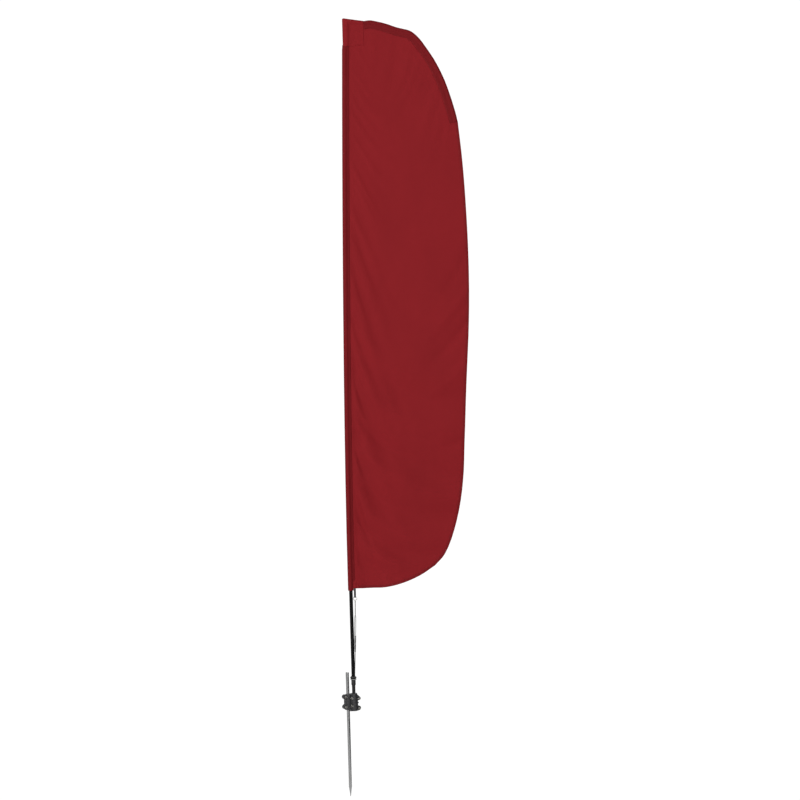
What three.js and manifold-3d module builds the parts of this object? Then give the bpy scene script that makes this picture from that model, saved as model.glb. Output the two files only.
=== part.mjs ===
// Feather flag on a ground rod: a tall blade-shaped banner on a four-section pole that turns on a
// spindle, and the two-shell clamp that holds the spindle beside a pointed steel rod.
// Millimetres, +Z up. The origin is on the rod's axis at ground level; the flag flies towards +X.

import * as THREE from "three";
import { mergeVertices } from "three/addons/utils/BufferGeometryUtils.js";
import Module from "manifold-3d";

const wasm = await Module();
wasm.setup();

// ---------------------------------------------------------------- clearances
const GAP = 0.3; // between pieces that touch or are clamped
const SLIP = 0.3; // radial, between pieces that plug, slide or turn

// ---------------------------------------------------------------- ground rod
const ROD_R = 8;
const ROD_TOP = 220;
const ROD_TIP = -400;
const ROD_POINT = 45;
const ROD_SHOULDER = 1; // step where the point begins
const ROD_CHAMFER = 2;

// ---------------------------------------------------------------- clamp
const CLAMP_TURN = 26; // degrees about +Z
const SPINDLE_SPACING = 33; // rod axis to spindle axis
const CLAMP_BOTTOM = 25;
const CLAMP_TOP = 112;
const ROD_SIDE_DROP = 2; // how far the rod side's top is below the spindle side's
const ROD_SIDE_RAISE = 9; // how far the rod side's bottom is above the spindle side's
const SHELL_HALF = 10; // thickness of each shell's plate
const SHELL_SPLIT = 0.8; // gap between the two shells
const BARREL_WALL = 8;
const LUG_R = 11;
const BOSS_R = 8.5;
const BOSS_FACE = 14; // outer bolts' seats, from the split
const MIDDLE_FACE = 10.4; // middle bolts' seats, in their pockets
const LUG_REACH = 18; // outer bolts, from the nearer bore's axis
const LUG_REACH_SPINDLE = 22;
const BOLT_HEIGHTS = { rod: [49, 99], middle: [51, 89.5], spindle: [38, 86] };

// ---------------------------------------------------------------- M6 fasteners
const BOLT_R = 3;
const HEX_R = 5.77;
const HEAD_H = 4;
const NUT_H = 5;
const WASHER_R = 6;
const WASHER_H = 1.2;
const BOLT_SPARE = 2; // thread beyond the nut

// ---------------------------------------------------------------- spindle and swivel
const SPINDLE_R = 8.5;
const SPINDLE_SHOULDER = 138;
const PIN_LENGTH = 120;
const PIN_GROOVE = 0.8;
const THRUST_H = 2.5;
const SWIVEL_FLANGE = 1.65; // the flange stands out this far from the tube
const SWIVEL_FLANGE_H = 12;
const SWIVEL_TUBE = 100;
const SWIVEL_WALL = 1.5;
const SWIVEL_SLIP = 0.4; // radial, in the pole's bore
const BUSH_WALL = 1;
const BUSH_LENGTH = 22;
const BUSH_LIP = 1.2;
const CLIP_H = 1;

// ---------------------------------------------------------------- pole
const POLE_R = 9; // bottom section; the next ones follow from the wall and the slip
const POLE_WALL = 1.5;
const SECTIONS = 4;
const INSERT = 70; // how far a section plugs into the one below
const FERRULE_WALL = 1.2;
const FERRULE_LENGTH = 60;
const COLLAR_WALL = 1.7;
const COLLAR_LIP = 2.5;
const COLLAR_NECK = 31; // below the flange
const FLANGE_REACH = 4.7; // beyond the neck
const FLANGE_H = 14;
const FLANGE_EDGE = 5;
const BOW = 52; // sideways set of the pole's top
const BOW_START = 840;

// ---------------------------------------------------------------- flag
const FLAG_FOOT = 636; // foot edge above ground, at the pole
const FLAG_HEIGHT = 2852;
const FLAG_WIDTH = 636; // pole's foot axis to the widest point
const CLOTH = 1.2;
const SLEEVE_SLACK_X = 5; // the pole sleeve's half widths, beyond the bottom section's radius
const SLEEVE_SLACK_Y = 3.5;
const SLEEVE_WALL = 1;
const SLEEVE_TAIL = 10; // sleeve end below the foot edge
const POCKET_WIDTH = 100;
const POCKET_DROP = 135;
const POCKET_CORNER = 6;
const POCKET_FALL = 16; // the top edge drops this far across the pocket
const ELBOW_WALL = 2.4;
const ELBOW_DROP = 12; // the arm's axis below the flag's top
const ARM_DIP = 8; // degrees the arm points down from square
const SOCKET = 32;
const BATTEN_R = 3;
const BATTEN_SET = 7; // the batten lies this far out from the sleeve's middle line
const BATTEN_SLEEVE_X = 17.5; // half width across the sleeve, in the flag's plane
const BATTEN_SLEEVE_Y = 6.5;
const SHOULDER_STEPS = 22; // the panel's edge and the sleeve beside it bend at the same places
const CAP_WALL = 1.4;
const CAP_LENGTH = 16;

// Edges as shares of the flag's width and height, from the pole's foot axis and the foot edge.
// The shoulder is the middle line of the batten's sleeve.
const SHOULDER = [
  [0.222, 0.9875], [0.262, 0.989], [0.371, 0.984], [0.492, 0.9745], [0.58, 0.969],
  [0.635, 0.9585], [0.686, 0.943], [0.761, 0.916], [0.833, 0.8805], [0.904, 0.828], [0.918, 0.813],
];
const FLY_EDGE = [
  [0.972, 0.745], [0.989, 0.674], [1, 0.569], [0.99, 0.464], [0.959, 0.359],
  [0.931, 0.254], [0.91, 0.184], [0.851, 0.114], [0.752, 0.057], [0.671, 0.037],
];
const FOOT_EDGE = [[0.55, 0.02], [0.407, 0.0072], [0.281, 0.001], [0.156, 0], [0.08, 0]];

// ---------------------------------------------------------------- tab, ring and cord
const TAB_REACH = 11; // tab and ring, from the pole's surface
const TAB_WIDTH = 10;
const TAB_THICK = 1.2;
const TAB_DROP = 42; // ring's top below the foot edge
const TAB_SEWN = 30; // length sewn to the panel
const RING_R = 9.2; // middle of the wire
const RING_WIRE = 1.4;
const CORD_R = 1.8;
const TWIST_R = 3.6;
const TWIST_LENGTH = 74;
const SPLICE_WALL = 0.8;
const SPLICE_HEIGHTS = [316, 404];

// The cord's middle line from the spindle's axis: down from the twist, behind the pole, round the
// collar's neck under its flange, and up again.
const CORD_ROUTE = [
  [16.4, -0.8, 498.5], [14, 0.2, 470], [12.2, 1.5, 430], [10.8, 3.8, 380], [7.6, 8.8, 320],
  [2.5, 12.8, 270], [-3, 15.8, 225], [-6.4, 17.8, 203], [-7.7, 17.6, 193], [-10, 15.2, 186],
  [-12.7, 8.9, 182.7], [-14.6, 0, 182.3], [-10.6, -9.9, 182.3], [0, -14.5, 182.3],
  [10.6, -9.9, 182.3], [14.6, 0, 182.3], [12.7, 8.9, 182.7], [10, 15.2, 186], [7.7, 17.6, 193],
  [7.4, 17.8, 203], [8.4, 15.4, 225], [10.8, 11.4, 270], [13.4, 7, 320], [16.2, 4, 380],
  [18.8, 2.2, 430], [20.2, 1.4, 470], [20.6, 0.8, 498.5],
];

const material = (color, roughness, metalness) =>
  new THREE.MeshStandardMaterial({ color, roughness, metalness });
const steel = material(0xa9abad, 0.35, 1);
const zinc = material(0xc9c9c4, 0.4, 1);
const castBlack = material(0x2c2c2f, 0.6, 0);
const nylon = material(0xd8d5cb, 0.5, 0);
const poleBlack = material(0x121213, 0.35, 0);
const plasticBlack = material(0x19191a, 0.55, 0);
const batten = material(0xd9d2bd, 0.45, 0);
const rubber = material(0x1b1b1b, 0.85, 0);
const redCloth = material(0x842125, 0.75, 0);
const redSleeve = material(0x6e2024, 0.78, 0);
const webbing = material(0x0f0f10, 0.85, 0);
const cordGrey = material(0xb4b6b4, 0.7, 0);
const spliceGrey = material(0x4c4d4e, 0.6, 0);

// ---------------------------------------------------------------- helpers
const flag = new THREE.Group();
const clamp = new THREE.Group();
const mast = new THREE.Group();
const turn = THREE.MathUtils.degToRad(CLAMP_TURN);
clamp.rotation.z = turn;
mast.position.set(SPINDLE_SPACING * Math.cos(turn), SPINDLE_SPACING * Math.sin(turn), 0);
flag.add(clamp, mast);

function piece(group, name, geometry, look) {
  const mesh = new THREE.Mesh(geometry, look);
  mesh.name = name;
  group.add(mesh);
  return mesh;
}

// A solid of revolution about Z, from [radius, height] corners listed anticlockwise.
function turned(corners, sides = 20, x = 0, y = 0) {
  const profile = corners.map(([r, z]) => new THREE.Vector2(r, z));
  const open = corners[0][0] === 0 && corners.at(-1)[0] === 0;
  if (!open) profile.push(profile[0].clone());
  return new THREE.LatheGeometry(profile, sides).rotateX(Math.PI / 2).translate(x, y, 0);
}

const bar = (r, z0, z1, sides, x, y) => turned([[0, z0], [r, z0], [r, z1], [0, z1]], sides, x, y);
const tube = (inner, outer, z0, z1, sides) =>
  turned([[inner, z0], [outer, z0], [outer, z1], [inner, z1]], sides);

// The same, lying along -Y in the X-Z plane of its group, from one depth to another.
const across = (geometry, x, z) => geometry.rotateX(Math.PI / 2).translate(x, 0, z);

function solid(geometry) {
  const bare = geometry.index ? geometry.toNonIndexed() : geometry.clone();
  bare.deleteAttribute("normal");
  bare.deleteAttribute("uv");
  const merged = mergeVertices(bare, 1e-4);
  return new wasm.Manifold(new wasm.Mesh({
    numProp: 3,
    vertProperties: new Float32Array(merged.attributes.position.array),
    triVerts: new Uint32Array(merged.index.array),
  }));
}

function geometryOf(body) {
  const { vertProperties, triVerts, numProp } = body.getMesh();
  const geometry = new THREE.BufferGeometry();
  const places = new Float32Array((vertProperties.length / numProp) * 3);
  for (let i = 0; i < places.length / 3; i++) {
    for (let k = 0; k < 3; k++) places[3 * i + k] = vertProperties[numProp * i + k];
  }
  geometry.setAttribute("position", new THREE.BufferAttribute(places, 3));
  geometry.setIndex(new THREE.BufferAttribute(new Uint32Array(triVerts), 1));
  return geometry;
}

// A flat shape in the X-Z plane, given thickness from depth y0 to y1.
function plate(shape, y0, y1, curveSegments = 10) {
  const options = { depth: y1 - y0, bevelEnabled: false, curveSegments };
  return new THREE.ExtrudeGeometry(shape, options).rotateX(Math.PI / 2).translate(0, y1, 0);
}

// An elliptical tube or rod along a curve. The first radius is across the flag's plane.
function swept(path, [ry, rx], wall, steps, sides) {
  const section = new THREE.Shape().absellipse(0, 0, ry, rx, 0, 2 * Math.PI);
  if (wall) {
    section.holes.push(new THREE.Path().absellipse(0, 0, ry - wall, rx - wall, 0, 2 * Math.PI));
  }
  return new THREE.ExtrudeGeometry(section, {
    steps, extrudePath: path, bevelEnabled: false, curveSegments: sides / 2,
  });
}

// ---------------------------------------------------------------- ground rod
function groundRod() {
  const shoulder = ROD_TIP + ROD_POINT;
  piece(flag, "ground_rod", turned([
    [0, ROD_TIP], [1, ROD_TIP + 1], [ROD_R - ROD_SHOULDER, shoulder], [ROD_R, shoulder + 2],
    [ROD_R, ROD_TOP - ROD_CHAMFER], [ROD_R - ROD_CHAMFER, ROD_TOP], [0, ROD_TOP],
  ]), steel);
}

// ---------------------------------------------------------------- clamp
// In the clamp's own frame X runs from the rod to the spindle and the shells meet at y = 0.
const rodBore = ROD_R + GAP;
const spindleBore = SPINDLE_R + GAP;
const rodSideTop = CLAMP_TOP - ROD_SIDE_DROP;
const rodSideBottom = CLAMP_BOTTOM + ROD_SIDE_RAISE;
const rodEarX = -LUG_REACH;
const spindleEarX = SPINDLE_SPACING + LUG_REACH_SPINDLE;
const middleX = (ROD_R + SPINDLE_SPACING - SPINDLE_R) / 2;
const boltPlaces = [
  ...BOLT_HEIGHTS.rod.map((z) => ({ x: rodEarX, z, face: BOSS_FACE })),
  ...BOLT_HEIGHTS.middle.map((z) => ({ x: middleX, z, face: MIDDLE_FACE })),
  ...BOLT_HEIGHTS.spindle.map((z) => ({ x: spindleEarX, z, face: BOSS_FACE })),
];

function shellOutline() {
  const step = middleX - BOSS_R; // where the spindle side's deeper foot begins
  const right = SPINDLE_SPACING + SPINDLE_R + BARREL_WALL + 1;
  const [rodLow, rodHigh] = BOLT_HEIGHTS.rod;
  const [endLow, endHigh] = BOLT_HEIGHTS.spindle;
  const bump = (endLow + endHigh) / 2 + 3;
  const degrees = THREE.MathUtils.degToRad;
  const outline = new THREE.Shape();
  outline.moveTo(step, rodSideBottom);
  outline.lineTo(-ROD_R, rodSideBottom);
  outline.absarc(rodEarX, rodLow, LUG_R, degrees(250), degrees(120), true);
  outline.lineTo(rodEarX, rodLow + 14);
  outline.lineTo(rodEarX, rodHigh - 14);
  outline.absarc(rodEarX, rodHigh, LUG_R, degrees(240), degrees(80), true);
  outline.lineTo(step, rodSideTop);
  outline.lineTo(step + 4, CLAMP_TOP);
  outline.lineTo(SPINDLE_SPACING + SPINDLE_R, CLAMP_TOP);
  outline.absarc(spindleEarX, endHigh, LUG_R - 1, degrees(45), degrees(-60), true);
  outline.lineTo(right, endHigh - 10);
  outline.lineTo(right, bump + 5);
  outline.lineTo(right + 4, bump + 2);
  outline.lineTo(right + 4, bump - 2);
  outline.lineTo(right, bump - 5);
  outline.lineTo(right, endLow + 14);
  outline.absarc(spindleEarX, endLow, LUG_R, degrees(60), degrees(-80), true);
  outline.lineTo(right - 2, CLAMP_BOTTOM);
  outline.lineTo(step + 3, CLAMP_BOTTOM);
  outline.closePath();
  return outline;
}

// side is -1 for the front shell and +1 for the rear one.
function clampShell(name, side) {
  const inner = SHELL_SPLIT / 2;
  const depths = side < 0 ? [-SHELL_HALF, -inner] : [inner, SHELL_HALF];
  let body = solid(plate(shellOutline(), ...depths));
  body = body.add(solid(bar(rodBore + BARREL_WALL, rodSideBottom, rodSideTop, 28)));
  const spindleBarrel = bar(
    spindleBore + BARREL_WALL, CLAMP_BOTTOM, CLAMP_TOP, 28, SPINDLE_SPACING, 0,
  );
  body = body.add(solid(spindleBarrel));
  for (const { x, z, face } of boltPlaces) {
    const start = side < 0 ? inner : -face;
    const end = side < 0 ? face : -inner;
    if (face === BOSS_FACE) body = body.add(solid(across(bar(BOSS_R, start, end, 16), x, z)));
    const pocket = side < 0 ? [face, 3 * BOSS_FACE] : [-3 * BOSS_FACE, -face];
    body = body.subtract(solid(across(bar(WASHER_R + 1.5, ...pocket, 16), x, z)));
    body = body.subtract(
      solid(across(bar(BOLT_R + SLIP, -3 * BOSS_FACE, 3 * BOSS_FACE, 12), x, z)),
    );
  }
  const reach = 4 * SPINDLE_SPACING;
  const keep = new THREE.BoxGeometry(2 * reach, reach, 4 * CLAMP_TOP);
  keep.translate(0, side * (reach / 2 + inner), 0);
  body = body.intersect(solid(keep));
  body = body.subtract(solid(bar(rodBore, ROD_TIP, ROD_TOP, 20)));
  body = body.subtract(solid(
    bar(spindleBore, 0, SPINDLE_SHOULDER, 20, SPINDLE_SPACING, 0),
  ));
  piece(clamp, name, geometryOf(body), castBlack);
}

const hex = (r, z0, z1) => bar(r, z0, z1, 6);

function fasteners() {
  boltPlaces.forEach(({ x, z, face }, i) => {
    const n = i + 1;
    const seat = face + GAP;
    const headBase = seat + WASHER_H + GAP;
    const end = -(seat + NUT_H + BOLT_SPARE);
    const head = solid(across(hex(HEX_R, headBase, headBase + HEAD_H), x, z));
    const shank = solid(across(bar(BOLT_R, end, headBase + 1, 12), x, z));
    piece(clamp, `clamp_bolt_${n}`, geometryOf(head.add(shank)), zinc);
    const washer = across(tube(BOLT_R + SLIP, WASHER_R, seat, seat + WASHER_H, 14), x, z);
    piece(clamp, `bolt_washer_${n}`, washer, zinc);
    const nut = solid(across(hex(HEX_R, -(seat + NUT_H), -seat), x, z));
    const thread = solid(across(bar(BOLT_R + SLIP, end, face, 12), x, z));
    piece(clamp, `clamp_nut_${n}`, geometryOf(nut.subtract(thread)), zinc);
  });
}

// ---------------------------------------------------------------- spindle and swivel
const thrustBase = SPINDLE_SHOULDER + GAP;
const swivelBase = thrustBase + THRUST_H + GAP;
const swivelSeat = swivelBase + SWIVEL_FLANGE_H;
const swivelTop = swivelSeat + SWIVEL_TUBE;
const swivelOuter = POLE_R - POLE_WALL - SWIVEL_SLIP;
const swivelInner = swivelOuter - SWIVEL_WALL;
const pinR = swivelInner - GAP - BUSH_WALL - SLIP;
const swivelFlange = swivelOuter + SWIVEL_FLANGE;
const clipBase = swivelTop + GAP + BUSH_LIP + GAP;

function spindle() {
  const foot = CLAMP_BOTTOM + 4;
  const top = SPINDLE_SHOULDER + PIN_LENGTH;
  const groove = pinR - PIN_GROOVE;
  const pin = turned([
    [0, foot], [SPINDLE_R - 1, foot], [SPINDLE_R, foot + 1], [SPINDLE_R, SPINDLE_SHOULDER],
    [pinR, SPINDLE_SHOULDER], [pinR, clipBase - GAP], [groove, clipBase - GAP],
    [groove, clipBase + CLIP_H + GAP], [pinR, clipBase + CLIP_H + GAP], [pinR, top - 1],
    [pinR - 1, top], [0, top],
  ]);
  piece(mast, "spindle_pin", pin, plasticBlack);
  const washer = tube(pinR + SLIP, SPINDLE_R, thrustBase, thrustBase + THRUST_H);
  piece(mast, "thrust_washer", washer, nylon);
  const clip = tube(groove + GAP, swivelInner, clipBase, clipBase + CLIP_H);
  piece(mast, "retaining_ring", clip, zinc);
}

function swivel() {
  piece(mast, "swivel_sleeve", turned([
    [swivelInner, swivelBase], [swivelFlange, swivelBase], [swivelFlange, swivelSeat],
    [swivelOuter, swivelSeat], [swivelOuter, swivelTop], [swivelInner, swivelTop],
  ]), plasticBlack);
  const bore = pinR + SLIP;
  const body = bore + BUSH_WALL;
  piece(mast, "lower_bush", tube(bore, body, swivelBase, swivelBase + BUSH_LENGTH), nylon);
  const lip = swivelTop + GAP;
  piece(mast, "upper_bush", turned([
    [bore, swivelTop - BUSH_LENGTH], [body, swivelTop - BUSH_LENGTH], [body, lip],
    [swivelOuter, lip], [swivelOuter, lip + BUSH_LIP], [bore, lip + BUSH_LIP],
  ]), nylon);
}

// ---------------------------------------------------------------- pole
const flagTop = FLAG_FOOT + FLAG_HEIGHT;
const collarBase = swivelSeat + GAP;
const poleBase = collarBase + COLLAR_LIP + GAP;
const sleeveX = POLE_R + SLEEVE_SLACK_X;
const sleeveY = POLE_R + SLEEVE_SLACK_Y;
const poleRadius = (i) => POLE_R - i * (POLE_WALL + SLIP);
const elbowR = poleRadius(SECTIONS - 1) + SLIP + ELBOW_WALL;
const poleTop = flagTop - ELBOW_DROP;
const sectionPitch = (poleTop - poleBase) / SECTIONS;

function poleAxis(z) {
  const share = Math.max(0, (z - BOW_START) / (flagTop - BOW_START));
  return new THREE.Vector3(BOW * share ** 1.5, 0, z);
}

function poleCurve(z0, z1, points = 9) {
  const along = Array.from({ length: points }, (_, i) => poleAxis(z0 + (i / (points - 1)) * (z1 - z0)));
  return new THREE.CatmullRomCurve3(along);
}

function pole() {
  for (let i = 0; i < SECTIONS; i++) {
    const r = poleRadius(i);
    const base = poleBase + i * sectionPitch;
    const start = i === 0 ? base : base - INSERT;
    const top = base + sectionPitch;
    const end = i === SECTIONS - 1 ? top - elbowR - GAP : top;
    piece(mast, `pole_section_${i + 1}`, swept(poleCurve(start, end), [r, r], POLE_WALL, 8, 16),
      poleBlack);
    if (i === SECTIONS - 1) continue;
    const ring = r + SLIP + FERRULE_WALL;
    piece(mast, `pole_ferrule_${i + 1}`,
      swept(poleCurve(top - FERRULE_LENGTH, top, 3), [ring, ring], FERRULE_WALL, 1, 16),
      plasticBlack);
  }
}

function collar() {
  const inner = POLE_R + SLIP;
  const outer = inner + COLLAR_WALL;
  const flangeBase = collarBase + COLLAR_NECK;
  const edge = (FLANGE_H - FLANGE_EDGE) / 2;
  const rim = outer + FLANGE_REACH;
  const lip = swivelOuter + SLIP;
  piece(mast, "pole_collar", turned([
    [lip, collarBase], [outer, collarBase], [outer, flangeBase], [rim, flangeBase + edge],
    [rim, flangeBase + edge + FLANGE_EDGE], [inner + 0.6, flangeBase + FLANGE_H],
    [inner, flangeBase + FLANGE_H], [inner, collarBase + COLLAR_LIP],
    [lip, collarBase + COLLAR_LIP],
  ], 24), plasticBlack);
}

// ---------------------------------------------------------------- batten and its elbow
const flagPoint = ([x, z]) => new THREE.Vector3(x * FLAG_WIDTH, 0, FLAG_FOOT + z * FLAG_HEIGHT);
const elbow = poleAxis(poleTop);
const belowElbow = poleAxis(poleTop - SOCKET);
const lean = Math.atan2(elbow.x - belowElbow.x, SOCKET);
const armDip = THREE.MathUtils.degToRad(ARM_DIP);
const shoulder = new THREE.CatmullRomCurve3(SHOULDER.map(flagPoint));
const pocketEdge = elbow.x - sleeveX + POCKET_WIDTH;
const tubeStart = pocketEdge + GAP;

// A point beside the shoulder: outwards is positive, away from the panel.
function besideShoulder(share, outwards, ahead = 0) {
  const along = shoulder.getTangentAt(share);
  const out = new THREE.Vector3(-along.z, 0, along.x);
  return shoulder.getPointAt(share).addScaledVector(out, outwards).addScaledVector(along, ahead);
}

// The batten leaves the elbow's arm straight and then follows the shoulder.
function battenCurve() {
  const dip = lean + armDip;
  const arm = new THREE.Vector3(Math.cos(dip), 0, -Math.sin(dip));
  const straight = [elbowR + GAP, SOCKET / 2, SOCKET, SOCKET + 10]
    .map((far) => elbow.clone().addScaledVector(arm, far));
  const bent = Array.from({ length: 13 }, (_, i) => besideShoulder(i / 13, BATTEN_SET));
  const stop = besideShoulder(1, BATTEN_SET, -CAP_LENGTH / 2);
  return new THREE.CatmullRomCurve3([...straight, ...bent, stop]);
}

function topElbow() {
  const r = elbowR;
  const socket = r - ELBOW_WALL;
  const upright = solid(bar(r, -SOCKET - r, r, 24));
  const arm = solid(bar(r, 0, SOCKET, 24).rotateY(Math.PI / 2 + armDip));
  const body = upright.add(arm)
    .subtract(solid(bar(socket, -2 * SOCKET, -r, 24)))
    .subtract(solid(bar(BATTEN_R + SLIP, r, 2 * SOCKET, 20).rotateY(Math.PI / 2 + armDip)));
  const mesh = piece(mast, "top_elbow", geometryOf(body), plasticBlack);
  mesh.position.copy(elbow);
  mesh.rotation.y = lean;
}

function topBatten() {
  const curve = battenCurve();
  piece(mast, "top_batten", swept(curve, [BATTEN_R, BATTEN_R], 0, 32, 8), batten);
  const end = curve.getPointAt(1);
  const along = curve.getTangentAt(1);
  const inner = BATTEN_R + SLIP;
  const outer = inner + CAP_WALL;
  const back = -CAP_LENGTH + 3;
  const cap = piece(mast, "batten_end_cap", turned([
    [0, GAP], [inner, GAP], [inner, back], [outer, back], [outer, 1.5], [outer - 1.2, 3], [0, 3],
  ]), rubber);
  cap.quaternion.setFromUnitVectors(new THREE.Vector3(0, 0, 1), along);
  cap.position.copy(end);
}

// ---------------------------------------------------------------- flag
const pocketBase = flagTop - POCKET_DROP;
const flat = (v) => new THREE.Vector2(v.x, v.z);

function sailPanel() {
  const luff = (z) => poleAxis(z).add(new THREE.Vector3(sleeveX + GAP, 0, 0));
  const luffPoints = Array.from({ length: 9 }, (_, i) =>
    luff(FLAG_FOOT + (i / 8) * (pocketBase - GAP - FLAG_FOOT)));
  const inset = BATTEN_SLEEVE_X + GAP;
  const head = Array.from({ length: SHOULDER_STEPS + 1 }, (_, i) =>
    besideShoulder(i / SHOULDER_STEPS, -inset));
  const battenEnd = [besideShoulder(1, -inset, GAP), besideShoulder(1, BATTEN_SLEEVE_X, GAP)];
  const fly = new THREE.CatmullRomCurve3([battenEnd[1], ...FLY_EDGE.map(flagPoint)]);
  const foot = new THREE.CatmullRomCurve3(
    [FLY_EDGE.at(-1), ...FOOT_EDGE].map(flagPoint).concat(luff(FLAG_FOOT)),
  );
  const outline = [
    ...luffPoints, new THREE.Vector3(tubeStart, 0, pocketBase - GAP),
    new THREE.Vector3(tubeStart, 0, head[0].z), ...head, battenEnd[0],
    ...fly.getPoints(40), ...foot.getPoints(24).slice(1, -1),
  ];
  piece(mast, "sail_panel", plate(new THREE.Shape(outline.map(flat)), -CLOTH / 2, CLOTH / 2), redCloth);
}

function sleeves() {
  const tilt = sleeveX * Math.sin(lean); // the leaning sleeve's end is higher on one side
  const path = poleCurve(FLAG_FOOT - SLEEVE_TAIL, pocketBase - GAP - tilt);
  piece(mast, "pole_sleeve", swept(path, [sleeveY, sleeveX], SLEEVE_WALL, 10, 16), redSleeve);
  piece(mast, "batten_sleeve",
    swept(shoulder, [BATTEN_SLEEVE_Y, BATTEN_SLEEVE_X], SLEEVE_WALL, SHOULDER_STEPS, 16), redSleeve);
}

// The corner pocket is a cloth cap over the elbow, open below and towards the batten's sleeve.
function cornerPocket() {
  const left = elbow.x - sleeveX;
  const half = elbowR + GAP;
  const pocket = (inset, beyond) => new THREE.Shape([
    [left + inset, pocketBase - beyond], [left + inset, flagTop - POCKET_CORNER - inset],
    [left + POCKET_CORNER + inset, flagTop - inset], [pocketEdge + beyond, flagTop - POCKET_FALL - inset],
    [pocketEdge + beyond, pocketBase - beyond],
  ].map(([x, z]) => new THREE.Vector2(x, z)));
  const outer = solid(plate(pocket(0, 0), -half - CLOTH, half + CLOTH));
  const inner = solid(plate(pocket(CLOTH, 5), -half, half));
  piece(mast, "corner_pocket", geometryOf(outer.subtract(inner)), redCloth);
}

// ---------------------------------------------------------------- tab, ring and cord
const ringTop = FLAG_FOOT - TAB_DROP; // middle of the wire
const ringCentre = ringTop - RING_R;
const tabX = POLE_R + TAB_REACH;

// The tab is sewn to both sides of the panel and loops through the ring.
function tensionTab() {
  const sewn = CLOTH / 2 + GAP;
  const loop = RING_WIRE + GAP;
  const dip = RING_R - Math.sqrt(RING_R ** 2 - (TAB_WIDTH / 2) ** 2);
  const top = FLAG_FOOT + TAB_SEWN;
  const side = (grow) => [
    [sewn + grow, top], [sewn + grow, FLAG_FOOT - GAP], [loop + grow, ringTop + RING_WIRE],
  ];
  const shape = new THREE.Shape();
  const start = side(TAB_THICK);
  shape.moveTo(...start[0]);
  for (const [y, z] of start.slice(1)) shape.lineTo(y, z);
  shape.absarc(0, ringTop - dip, loop + TAB_THICK, 0, -Math.PI, true);
  for (const [y, z] of start.toReversed()) shape.lineTo(-y, z);
  const inside = side(0);
  for (const [y, z] of inside) shape.lineTo(-y, z);
  shape.absarc(0, ringTop - dip, loop, -Math.PI, 0, false);
  for (const [y, z] of inside.toReversed()) shape.lineTo(y, z);
  const strap = new THREE.ExtrudeGeometry(shape, {
    depth: TAB_WIDTH, bevelEnabled: false, curveSegments: 8,
  });
  strap.rotateX(Math.PI / 2).rotateZ(Math.PI / 2).translate(tabX - TAB_WIDTH / 2, 0, 0);
  piece(mast, "tension_tab", strap, webbing);
}

function tensionRing() {
  const ring = new THREE.TorusGeometry(RING_R, RING_WIRE, 8, 24).rotateX(Math.PI / 2);
  piece(mast, "tension_ring", ring, zinc).position.set(tabX, 0, ringCentre);
}

function bungee() {
  const twistTop = ringCentre - RING_R - RING_WIRE - GAP;
  const twistBase = twistTop - TWIST_LENGTH;
  const x = (CORD_ROUTE[0][0] + CORD_ROUTE.at(-1)[0]) / 2;
  const twist = turned([
    [0, twistBase], [TWIST_R + 0.6, twistBase], [TWIST_R, twistBase + 8], [TWIST_R, twistTop - 5],
    [TWIST_R - 1.2, twistTop], [0, twistTop],
  ], 12);
  piece(mast, "cord_twist", twist, cordGrey).position.set(x, 0, 0);
  const route = new THREE.CatmullRomCurve3(CORD_ROUTE.map((p) => new THREE.Vector3(...p)));
  piece(mast, "tension_cord", swept(route, [CORD_R, CORD_R], 0, 78, 8), cordGrey);
  const [low, high] = SPLICE_HEIGHTS;
  const rising = route.getSpacedPoints(78).slice(39).filter((p) => p.z > low && p.z < high);
  const outer = CORD_R + SLIP + SPLICE_WALL;
  piece(mast, "cord_splice_sleeve",
    swept(new THREE.CatmullRomCurve3(rising), [outer, outer], SPLICE_WALL, 8, 12), spliceGrey);
}

groundRod();
clampShell("clamp_front_shell", -1);
clampShell("clamp_rear_shell", 1);
fasteners();
spindle();
swivel();
collar();
pole();
topElbow();
topBatten();
sailPanel();
sleeves();
cornerPocket();
tensionTab();
tensionRing();
bungee();

export default flag;
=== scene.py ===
"""Looks of a feather flag on a ground rod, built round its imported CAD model."""
import math

import bmesh
import bpy
import numpy as np
from bpy.props import FloatProperty, FloatVectorProperty, IntProperty, PointerProperty
from mathutils import Matrix, Vector, noise
from mathutils.bvhtree import BVHTree
from mathutils.geometry import delaunay_2d_cdt


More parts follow.
